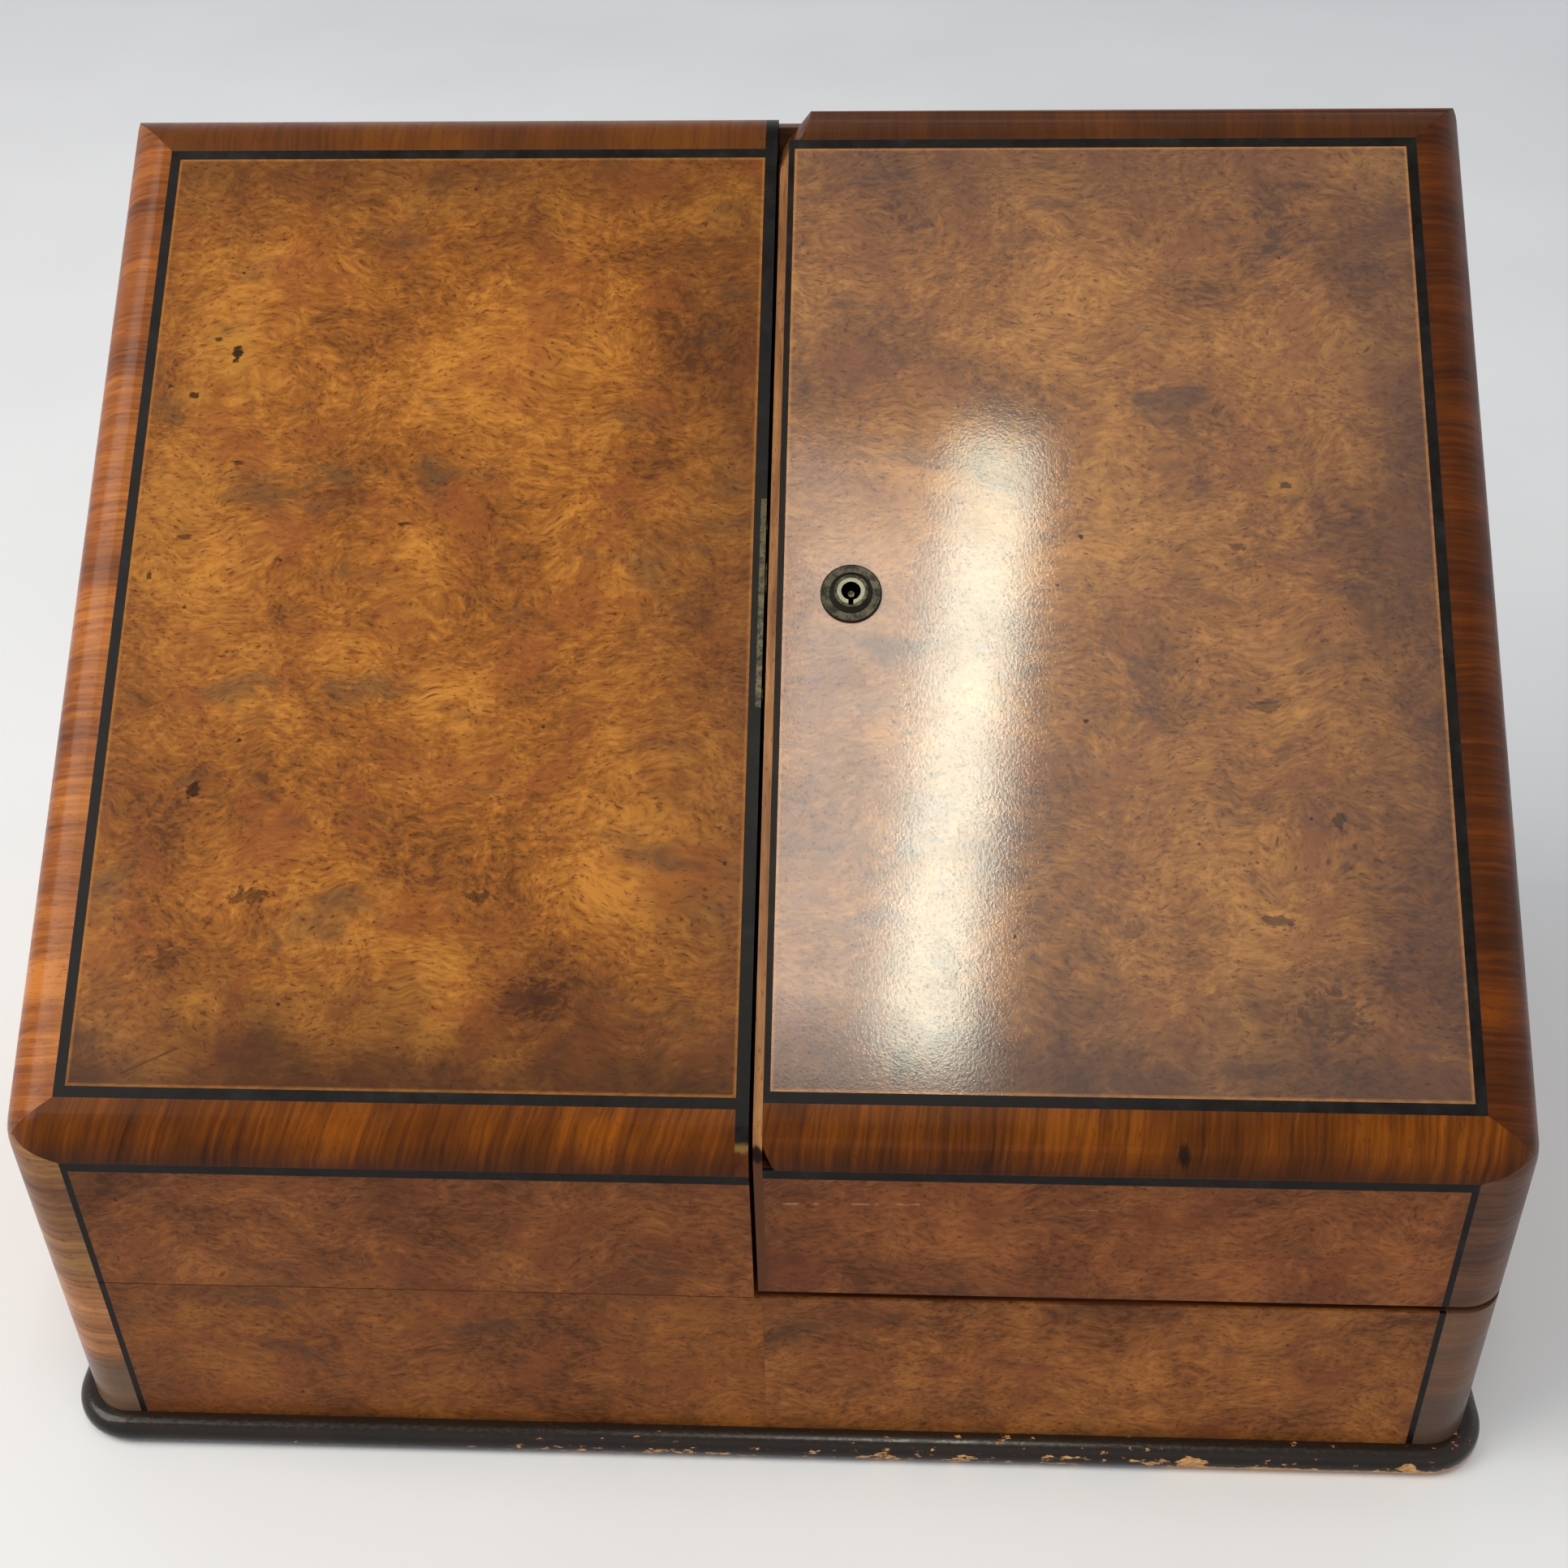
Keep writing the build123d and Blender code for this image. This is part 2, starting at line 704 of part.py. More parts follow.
    front_panel = front_block(lift, front_x, sign * post_x, door_bottom, nose_low, veneer, wall)
    keep(front_panel, f"{side}_front_panel")

    with BuildPart() as door_leaves:
        for height in (hinge_low + lift, hinge_high + lift):
            add(hinge_leaf(sign, height, joint_y - leaf_thickness, joint_y, True))
    keep(door_leaves.part, f"{side}_hinge_leaves")

    with BuildPart() as door_screws:
        for height in (hinge_low + lift, hinge_high + lift):
            for place in (-screw_pitch / 2, screw_pitch / 2):
                add(screw(leaf_screw_plane(sign, height + place, joint_y, 1)))
        if side == "left":
            for place in (-1, 1):
                add(screw(strike_screw_plane(place)))
        else:
            for place in (-1, 1):
                add(screw(selvedge_screw_plane(lift, place)))
    keep(door_screws.part, f"{side}_screws")

    strip_low = nose_low + lift if side == "left" else door_bottom + lift
    strip_section = [
        (0, strip_low),
        (0, nose_height + lift),
        (joint_y, slope_z(joint_y, lift)),
        (joint_y, slope_z(joint_y, lift, strip_depth)),
        (wall, slope_z(wall, lift, strip_depth)),
        (wall, strip_low),
    ]
    with BuildPart() as strip:
        add(side_slab(edge_x, panel_x, strip_section))
        add(shell, mode=Mode.INTERSECT)
        if side == "left":
            add(strike_shape(), mode=Mode.SUBTRACT)
            add(bolt_pocket, mode=Mode.SUBTRACT)
            for place in (-1, 1):
                add(screw(strike_screw_plane(place), screw_clearance), mode=Mode.SUBTRACT)
        else:
            add(lock_body_shape(lift, lock_clearance), mode=Mode.SUBTRACT)
            add(selvedge_shape(lift, lock_clearance), mode=Mode.SUBTRACT)
            for place in (-1, 1):
                add(screw(selvedge_screw_plane(lift, place), screw_clearance), mode=Mode.SUBTRACT)
    keep(strip.part, "left_meeting_strip" if side == "left" else "right_edge_strip")

# Strike plate, lock case with its face plate, key nozzle, bolt and lever

with BuildPart() as left_strike_plate:
    add(strike_shape())
    add(bolt_pocket, mode=Mode.SUBTRACT)
    for place in (-1, 1):
        add(screw(strike_screw_plane(place), screw_clearance), mode=Mode.SUBTRACT)
keep(left_strike_plate.part, "left_strike_plate")

door_lift = right_door_lift
case_far = right_edge + lock_width - lock_wall
case_half = lock_length / 2 - lock_wall
lever_x = right_edge + bolt_setback + bolt_length + lever_inset
with BuildPart() as lock_case:
    add(lock_body_shape(door_lift, 0))
    add(selvedge_shape(door_lift, 0))
    add(
        slope_block(
            door_lift,
            right_edge + selvedge_thickness,
            case_far,
            lock_s - case_half,
            lock_s + case_half,
            lock_top_depth + lock_wall,
            lock_bottom_depth - lock_wall,
        ),
        mode=Mode.SUBTRACT,
    )
    add(bolt_shape(door_lift, bolt_throw, bolt_clearance), mode=Mode.SUBTRACT)
    with BuildSketch(slope_plane(door_lift, lock_bottom_depth - lock_wall)):
        with Locations((lever_x, lock_s + bolt_offset)):
            Circle(lever_post_radius)
    extrude(amount=lock_bottom_depth - 2 * lock_wall - lock_top_depth)
    with BuildSketch(slope_plane(door_lift, lock_top_depth + lock_wall)):
        with Locations((lock_x, lock_s)):
            Circle(nozzle_bore_radius)
        with Locations((lock_x, lock_s - nozzle_slot_reach / 2)):
            Rectangle(nozzle_slot_width, nozzle_slot_reach)
    extrude(amount=lock_wall, mode=Mode.SUBTRACT)
    with BuildSketch(slope_plane(door_lift, lock_bottom_depth - lock_wall)):
        with Locations((lock_x, lock_s)):
            Circle(keypin_radius)
    extrude(amount=lock_bottom_depth - lock_wall)
    for place in (-1, 1):
        add(screw(selvedge_screw_plane(door_lift, place), screw_clearance), mode=Mode.SUBTRACT)
keep(lock_case.part, "lock_case")

with BuildPart() as lock_nozzle:
    add(nozzle_tube_shape(door_lift, nozzle_tube_radius))
    with BuildSketch(slope_plane(door_lift)):
        with Locations((lock_x, lock_s)):
            Circle(nozzle_flange_radius)
    extrude(amount=nozzle_flange_thickness)
    with BuildSketch(slope_plane(door_lift)):
        with Locations((lock_x, lock_s)):
            Circle(nozzle_boss_radius)
    extrude(amount=nozzle_boss_height)
    normal = Axis((0, 0, 0), slope_plane(0).z_dir)
    circles = lock_nozzle.edges().filter_by(GeomType.CIRCLE)
    boss_rims = circles.filter_by(lambda e: abs(e.radius - nozzle_boss_radius) < pin_clearance)
    chamfer(boss_rims.sort_by(normal)[-1], nozzle_boss_chamfer)
    circles = lock_nozzle.edges().filter_by(GeomType.CIRCLE)
    flange_rims = circles.filter_by(lambda e: abs(e.radius - nozzle_flange_radius) < pin_clearance)
    fillet(flange_rims.sort_by(normal)[-1], nozzle_flange_rounding)
    with BuildSketch(slope_plane(door_lift, lock_top_depth)):
        with Locations((lock_x, lock_s)):
            Circle(nozzle_bore_radius)
        with Locations((lock_x, lock_s - nozzle_slot_reach / 2)):
            Rectangle(nozzle_slot_width, nozzle_slot_reach)
    extrude(amount=lock_top_depth + nozzle_boss_height, mode=Mode.SUBTRACT)
keep(lock_nozzle.part, "lock_nozzle")

with BuildPart() as lock_bolt:
    add(bolt_shape(door_lift, 0, 0))
keep(lock_bolt.part, "lock_bolt")

lever_top = bolt_top - lever_clearance
with BuildPart() as lock_lever:
    with BuildSketch(slope_plane(door_lift, lever_top)):
        with Locations((lever_x, lock_s + bolt_offset)):
            Circle(lever_width / 2)
        with Locations((lever_x - lever_length / 2, lock_s + bolt_offset)):
            Rectangle(lever_length, lever_arm_width)
        with Locations((lever_x, lock_s + bolt_offset)):
            Circle(lever_post_radius + pin_clearance, mode=Mode.SUBTRACT)
    extrude(amount=lever_thickness)
keep(lock_lever.part, "lock_lever")

# Letter rack: two cheeks, three boards with finger scoops, and the lined floor

with BuildPart() as well_lining:
    with BuildSketch(Plane.XY.offset(bottom_thickness)):
        with Locations((0, (wall + back_front) / 2)):
            Rectangle(2 * inner_x, back_front - wall)
        for sign in (-1, 1):
            with Locations((sign * (post_x + inner_x) / 2, (wall + post_band) / 2)):
                Rectangle(inner_x - post_x, post_band - wall, mode=Mode.SUBTRACT)
    extrude(amount=lining_thickness)
keep(well_lining.part, "well_lining")

cheek_rear_height = rail_low - cheek_rail_gap
with BuildPart() as rack_cheeks:
    for sign in (-1, 1):
        add(
            side_slab(
                sign * rack_cheek_inner,
                sign * rack_half_width,
                [
                    (rack_front, floor_top),
                    (back_front, floor_top),
                    (back_front, cheek_rear_height),
                    (rack_front, rack_front_height),
                ],
            )
        )
keep(rack_cheeks.part, "rack_cheeks")

scoop_radius = (scoop_width**2 / 4 + scoop_depth**2) / (2 * scoop_depth)
for place, row in (("front", 0), ("middle", 1), ("rear", 2)):
    top = rack_front_height + row * rack_rise
    y = rack_front + row * rack_pitch
    with BuildPart() as rack_board_shape:
        with BuildSketch(Plane.XZ.offset(-y)):
            with Locations((0, (floor_top + top) / 2)):
                Rectangle(2 * (rack_cheek_inner - rack_seat), top - floor_top)
            with Locations((0, top + scoop_radius - scoop_depth)):
                Circle(scoop_radius, mode=Mode.SUBTRACT)
        extrude(amount=-rack_board)
    keep(rack_board_shape.part, f"rack_board_{place}")

# Front wells: rail, two ledged dividers, lift-out pen tray and glass inkwells

rail_front = wall + well_depth
well_rail = front_block(0, -inner_x, inner_x, floor_top, well_top, rail_front, rail_front + well_board)
keep(well_rail, "well_rail")

tray_seat = well_top - tray_height
divider_x = inner_x - inkwell_side - 2 * inkwell_side_gap - well_board
tray_half_width = divider_x - tray_clearance
with BuildPart() as well_dividers:
    for sign in (-1, 1):
        near_x = sign * divider_x
        far_x = sign * (divider_x + well_board)
        ledge_x = sign * (divider_x - ledge_width)
        ledge_top = tray_seat - tray_lift_room
        add(front_block(0, near_x, far_x, floor_top, well_top, wall, rail_front))
        add(front_block(0, ledge_x, near_x, floor_top, ledge_top, wall, rail_front))
keep(well_dividers.part, "well_dividers")

tray_y = wall + tray_clearance
tray_back = rail_front - tray_clearance
trough_width = (tray_back - tray_y - 3 * tray_wall) / 2
with BuildPart() as pen_tray:
    with BuildSketch(Plane.XY.offset(tray_seat)):
        with Locations((0, (tray_y + tray_back) / 2)):
            Rectangle(2 * tray_half_width, tray_back - tray_y)
    extrude(amount=tray_height)
    for row in (0, 1):
        middle = tray_y + tray_wall + trough_width / 2 + row * (trough_width + tray_wall)
        with BuildSketch(Plane.YZ.offset(-tray_half_width + tray_wall)):
            with Locations((middle, well_top)):
                Ellipse(trough_width / 2, tray_height - tray_wall)
        extrude(amount=2 * (tray_half_width - tray_wall), mode=Mode.SUBTRACT)
keep(pen_tray.part, "pen_tray")

inkwell_x = inner_x - inkwell_side_gap - inkwell_side / 2
inkwell_y = rail_front - inkwell_wall_gap - inkwell_side / 2
inkwell_top = floor_top + inkwell_height
collar_top = inkwell_top + collar_height
with BuildPart() as inkwells:
    with BuildSketch(Plane.XY.offset(floor_top)):
        for sign in (-1, 1):
            with Locations((sign * inkwell_x, inkwell_y)):
                RectangleRounded(inkwell_side, inkwell_side, inkwell_edge)
    extrude(amount=inkwell_height)
    glass_tops = inkwells.faces().group_by(Axis.Z)[-1]
    chamfer(glass_tops.edges(), inkwell_chamfer)
    with BuildSketch(Plane.XY.offset(floor_top + inkwell_floor)):
        for sign in (-1, 1):
            with Locations((sign * inkwell_x, inkwell_y)):
                Circle(inkwell_bore)
    extrude(amount=inkwell_height, mode=Mode.SUBTRACT)
keep(inkwells.part, "inkwells")

ink_hinge_y = inkwell_y + collar_radius + cap_hinge_standoff
ink_hinge_z = collar_top + cap_hinge_radius + cap_hinge_gap
knuckle_half = cap_hinge_width / 2 - cap_ear
with BuildPart() as inkwell_collars:
    with BuildSketch(Plane.XY.offset(inkwell_top)):
        for sign in (-1, 1):
            with Locations((sign * inkwell_x, inkwell_y)):
                Circle(collar_radius)
            with Locations((sign * inkwell_x, ink_hinge_y + cap_hinge_radius)):
                Rectangle(cap_hinge_width, cap_lug_length, align=(Align.CENTER, Align.MAX))
        for sign in (-1, 1):
            with Locations((sign * inkwell_x, inkwell_y)):
                Circle(inkwell_bore, mode=Mode.SUBTRACT)
    extrude(amount=collar_height)
    for sign in (-1, 1):
        for end in (-1, 1):
            ear_x = sign * inkwell_x + end * (knuckle_half + cap_ear / 2)
            with BuildSketch(Plane.YZ.offset(ear_x)):
                with Locations((ink_hinge_y, ink_hinge_z)):
                    Circle(cap_hinge_radius)
                with Locations((ink_hinge_y, collar_top)):
                    Rectangle(2 * cap_hinge_radius, ink_hinge_z - collar_top, align=(Align.CENTER, Align.MIN))
            extrude(amount=cap_ear / 2, both=True)
        with BuildSketch(Plane.YZ.offset(sign * inkwell_x)):
            with Locations((ink_hinge_y, ink_hinge_z)):
                Circle(cap_pin_radius)
        extrude(amount=cap_hinge_width / 2, both=True)
keep(inkwell_collars.part, "inkwell_collars")

for side, sign in (("left", -1), ("right", 1)):
    cap_bottom = collar_top + cap_gap
    with BuildPart() as inkwell_cap:
        with BuildSketch(Plane.XY.offset(cap_bottom)):
            with Locations((sign * inkwell_x, inkwell_y)):
                Circle(cap_radius)
        extrude(amount=cap_height)
        fillet(inkwell_cap.faces().sort_by(Axis.Z)[-1].edges(), cap_rounding)
        with BuildSketch(Plane.XY.offset(cap_bottom)):
            with Locations((sign * inkwell_x, inkwell_y)):
                Circle(cap_radius - cap_wall)
        extrude(amount=cap_height - 2 * cap_wall, mode=Mode.SUBTRACT)
        with BuildSketch(Plane.YZ.offset(sign * inkwell_x)):
            with Locations((ink_hinge_y, ink_hinge_z)):
                Circle(cap_hinge_radius)
            with Locations((ink_hinge_y, ink_hinge_z)):
                Rectangle(
                    ink_hinge_y - inkwell_y - cap_radius + cap_wall / 2,
                    cap_hinge_radius,
                    align=(Align.MAX, Align.MIN),
                )
        extrude(amount=knuckle_half - cap_hinge_gap, both=True)
        with BuildSketch(Plane.YZ.offset(sign * inkwell_x)):
            with Locations((ink_hinge_y, ink_hinge_z)):
                Circle(cap_pin_radius + cap_pin_clearance)
        extrude(amount=cap_hinge_width / 2, both=True, mode=Mode.SUBTRACT)
    keep(inkwell_cap.part, f"inkwell_cap_{side}")
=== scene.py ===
"""Looks of a slope-front burr walnut stationery box: finishes, worn trim, light and camera."""

import logging
from collections.abc import Callable, Iterable, Mapping
from dataclasses import dataclass
from enum import Enum
from functools import partial
from math import cos, pi, radians, sin
from typing import Any, NamedTuple

import bpy
from mathutils import Matrix, Vector

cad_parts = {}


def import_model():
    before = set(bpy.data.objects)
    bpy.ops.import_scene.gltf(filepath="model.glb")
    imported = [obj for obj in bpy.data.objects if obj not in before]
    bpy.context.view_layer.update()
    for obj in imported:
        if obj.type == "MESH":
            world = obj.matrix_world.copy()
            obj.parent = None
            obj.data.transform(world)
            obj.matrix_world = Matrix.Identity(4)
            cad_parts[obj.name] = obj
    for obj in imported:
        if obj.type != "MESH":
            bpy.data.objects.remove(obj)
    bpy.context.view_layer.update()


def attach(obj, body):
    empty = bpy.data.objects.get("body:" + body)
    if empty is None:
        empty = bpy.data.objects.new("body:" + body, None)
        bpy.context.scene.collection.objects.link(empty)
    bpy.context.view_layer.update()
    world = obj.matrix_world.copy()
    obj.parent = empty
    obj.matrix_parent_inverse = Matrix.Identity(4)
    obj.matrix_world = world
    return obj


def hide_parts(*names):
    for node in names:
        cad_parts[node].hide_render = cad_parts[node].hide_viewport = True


LOG = logging.getLogger("stationery_box")

MM = 0.001
SLOPE = radians(36.0)

# The right door stands this much higher than the left
RIGHT_DOOR_LIFT = 0.0026

# Edges flatter than this are shaded smooth
SMOOTH_ANGLE = radians(32.0)

# Points of a copied node that lie closer than this are one
MERGE_DISTANCE = 0.000002

# Power of a lamp's face of one square metre whose glow is 1
LAMP_WATTS = 1.27 * pi

# Ways on the faces
RIGHT = Vector((1.0, 0.0, 0.0))
BACK = Vector((0.0, 1.0, 0.0))
UP = Vector((0.0, 0.0, 1.0))
UP_SLOPE = Vector((0.0, cos(SLOPE), sin(SLOPE)))

# Colour sockets of a Mix node go by their places, because their names repeat
FACTOR, UNDER, OVER = 0, 6, 7

# A bump whose height is in metres
TRUE_HEIGHT = {"Strength": 1.0, "Distance": 1.0}

# IOR of polish, lacquer and pressed glass
CLEAR_IOR = 1.5

# Starts of the kinds of arithmetic nodes
MATH = ("ShaderNodeMath", 0, "operation")
VECTOR = ("ShaderNodeVectorMath", 0, "operation")
MEASURE = ("ShaderNodeVectorMath", "Value", "operation")

Adder = Callable[..., Any]
Settings = dict[str, Any]
Pair = tuple[float, float]
Point = tuple[float, float, float]


class Kind(Enum):
    """Nodes that the finishes are made of: a type, the output that is used, and a setting."""

    PLACE = ("ShaderNodeTexCoord", "Object")
    DIRECTION = ("ShaderNodeTexCoord", "Generated")
    TURN = ("ShaderNodeMapping", 0)
    SPLIT = ("ShaderNodeSeparateXYZ", 0)
    NOISE = ("ShaderNodeTexNoise", 0)
    CELLS = ("ShaderNodeTexVoronoi", 0)
    PLUS = (*MATH, "ADD")
    MINUS = (*MATH, "SUBTRACT")
    TIMES = (*MATH, "MULTIPLY")
    TIMES_PLUS = (*MATH, "MULTIPLY_ADD")
    LEAST = (*MATH, "MINIMUM")
    MOST = (*MATH, "MAXIMUM")
    SINE = (*MATH, "SINE")
    SIZE = (*MATH, "ABSOLUTE")
    SHIFT = (*VECTOR, "ADD")
    AWAY_FROM = (*VECTOR, "SUBTRACT")
    STRETCH = (*VECTOR, "MULTIPLY")
    STRETCH_SHIFT = (*VECTOR, "MULTIPLY_ADD")
    LENGTH = (*MEASURE, "LENGTH")
    DISTANCE = (*MEASURE, "DISTANCE")
    ALONG = (*MEASURE, "DOT_PRODUCT")
    SPREAD = ("ShaderNodeMapRange", 0, "interpolation_type", "SMOOTHSTEP")
    EVEN_SPREAD = ("ShaderNodeMapRange", 0, "interpolation_type", "LINEAR")
    RAMP = ("ShaderNodeValToRGB", 0)
    MIX = ("ShaderNodeMix", 2, "data_type", "RGBA")
    BUMP = ("ShaderNodeBump", 0)
    SHADER = ("ShaderNodeBsdfPrincipled", 0)
    OUTPUT = ("ShaderNodeOutputMaterial", 0)
    RAY = ("ShaderNodeLightPath", 0)
    SKY = ("ShaderNodeBackground", 0)
    EITHER = ("ShaderNodeMixShader", 0)
    SKY_OUTPUT = ("ShaderNodeOutputWorld", 0)


class Axis(Enum):
    """Way that a board's grain runs."""

    X = 0
    Y = 1


class Plane(Enum):
    """Planes that faces lie in, each by the two ways that its coordinates run."""

    SLOPE = (RIGHT, UP_SLOPE)
    SLOPE_SIDEWAYS = (UP_SLOPE, RIGHT)
    FRONT = (RIGHT, UP)
    FLANK = (BACK, UP)


class Tones(NamedTuple):
    """Three colours of a wood, from its darkest grain to its palest."""

    deep: str
    body: str
    pale: str


def linear(code: str) -> tuple[float, float, float, float]:
    """Turn an sRGB hex value into the linear colour that a shader takes.

    Args:
        code: Colour such as "#8A4F26".

    Returns:
        Linear red, green and blue, with an alpha of 1.
    """
    shares = [int(code[place:place + 2], 16) / 255 for place in (1, 3, 5)]
    red, green, blue = (s / 12.92 if s <= 0.04045 else ((s + 0.055) / 1.055) ** 2.4 for s in shares)
    return red, green, blue, 1.0


def per_metre(size_mm: float) -> float:
    """Scale of a pattern whose features are this many millimetres across."""
    return 1.0 / (size_mm * MM)


def sized(where: Any, size_mm: float, detail: float = 2.0, roughness: float = 0.5) -> Settings:
    """What a texture takes to have features of a real size.

    Args:
        where: Socket of its coordinates.
        size_mm: Size of its features in millimetres.
        detail: How many finer layers it has.
        roughness: How strong they are.

    Returns:
        Values by socket.
    """
    return {"Vector": where, "Scale": per_metre(size_mm), "Detail": detail, "Roughness": roughness}


def add_node(
    tree: bpy.types.NodeTree,
    kind: Kind,
    *inputs: Any,
    out: str = "",
    stops: Iterable[tuple[float, str]] = (),
) -> bpy.types.NodeSocket | None:
    """Add a node with its settings and links.

    Args:
        tree: Tree that takes the node.
        kind: What the node is, with its setting.
        *inputs: What the sockets take in order, or one mapping by socket. A socket is linked,
            a hex colour is made linear, and any other value is held.
        out: Output that is handed back, where it isn't the usual one.
        stops: Places and colours of a ramp.

    Returns:
        The output socket, or nothing for a node that has none.
    """
    type_name, usual, *setting = kind.value
    node = tree.nodes.new(type_name)
    if setting:
        setattr(node, *setting)
    named = inputs[0] if len(inputs) == 1 and isinstance(inputs[0], Mapping) else dict(enumerate(inputs))
    for socket, value in named.items():
        if isinstance(value, bpy.types.NodeSocket):
            tree.links.new(value, node.inputs[socket])
        else:
            node.inputs[socket].default_value = linear(value) if isinstance(value, str) else value
    for index, (place, code) in enumerate(stops):
        ramp = node.color_ramp.elements
        stop = ramp[index] if index < len(ramp) else ramp.new(place)
        stop.position = place
        stop.color = linear(code)
    return node.outputs[out or usual] if len(node.outputs) else None


@dataclass(frozen=True)
class Face:
    """A flat face: its middle, its two ways and its half sizes in metres."""

    middle: Vector
    across: Vector
    along: Vector
    half_across: float
    half_along: float

    def coordinates(self, add: Adder) -> Any:
        """Coordinates on the face: across, along and out of it, in metres from its middle.

        Args:
            add: Adds a node to the tree.

        Returns:
            The socket of the coordinates.
        """
        turn = Matrix((self.across, self.along, self.across.cross(self.along)))
        to_middle = -(turn @ self.middle)
        return add(Kind.TURN, {"Vector": add(Kind.PLACE), "Location": to_middle, "Rotation": turn.to_euler()})


def face_of(node: str, plane: Plane) -> Face:
    """Face of a node, measured on its mesh.

    Args:
        node: Name of the node.
        plane: Plane that the face lies in.

    Returns:
        The face.
    """
    across, along = plane.value
    points = [vertex.co for vertex in bpy.data.objects[node].data.vertices]
    ways = (across, along, across.cross(along))
    spans = [(min(p.dot(way) for p in points), max(p.dot(way) for p in points)) for way in ways]
    middle = sum((way * (low + high) / 2 for way, (low, high) in zip(ways, spans)), Vector())
    half_across, half_along = ((high - low) / 2 for low, high in spans[:2])
    return Face(middle, across, along, half_across, half_along)


@dataclass(frozen=True)
class Knot:
    """A dark knot or hole in a veneer, by its place on the face and its half sizes in millimetres."""

    across: float
    along: float
    wide: float
    tall: float
    depth: float = 0.9
    halo: float = 0.0

    def distance(self, add: Adder, flat: Any) -> Any:
        """How far each point of the face lies from the knot, where 1 is its rim.

        Args:
            add: Adds a node to the tree.
            flat: Socket of the face's coordinates.

        Returns:
            The socket of the distance.
        """
        away = add(Kind.AWAY_FROM, flat, (self.across * MM, self.along * MM, 0.0))
        return add(Kind.LENGTH, add(Kind.STRETCH, away, (per_metre(self.wide), per_metre(self.tall), 0.0)))


@dataclass(frozen=True)
class Scratch:
    """A scratch from one place on a face to another, in millimetres."""

    start: Pair
    end: Pair
    width: float = 0.35
    code: str = "#3A1E10"
    strength: float = 0.8
    broken: float = 0.0


@dataclass(frozen=True)
class Rims:
    """How much darker a face grows towards each edge, from 0 to 1."""

    left: float = 0.0
    right: float = 0.0
    bottom: float = 0.0
    top: float = 0.0
    code: str = "#4E2E1E"
    reach_mm: float = 26.0


@dataclass(frozen=True)
class Finish:
    """What all finishes share: a material, and the CAD nodes that wear it."""

    name: str

    def surface(self, add: Adder) -> Settings:
        """What the shader's sockets take, which each finish works out in its own way."""
        raise NotImplementedError

    def build(self) -> bpy.types.Material:
        """Make the material.

        Returns:
            The material.
        """
        material = bpy.data.materials.new(self.name)
        material.use_nodes = True
        material.node_tree.nodes.clear()
        add = partial(add_node, material.node_tree)
        add(Kind.OUTPUT, {"Surface": add(Kind.SHADER, self.surface(add))})
        return material

    def dress(self, *nodes: str) -> None:
        """Make the material and give it to CAD nodes.

        Args:
            *nodes: Names of the nodes.
        """
        material = self.build()
        for node in nodes:
            skin = bpy.data.objects[node].data.materials
            skin.clear()
            skin.append(material)
            LOG.info("%s wears %s", node, material.name)


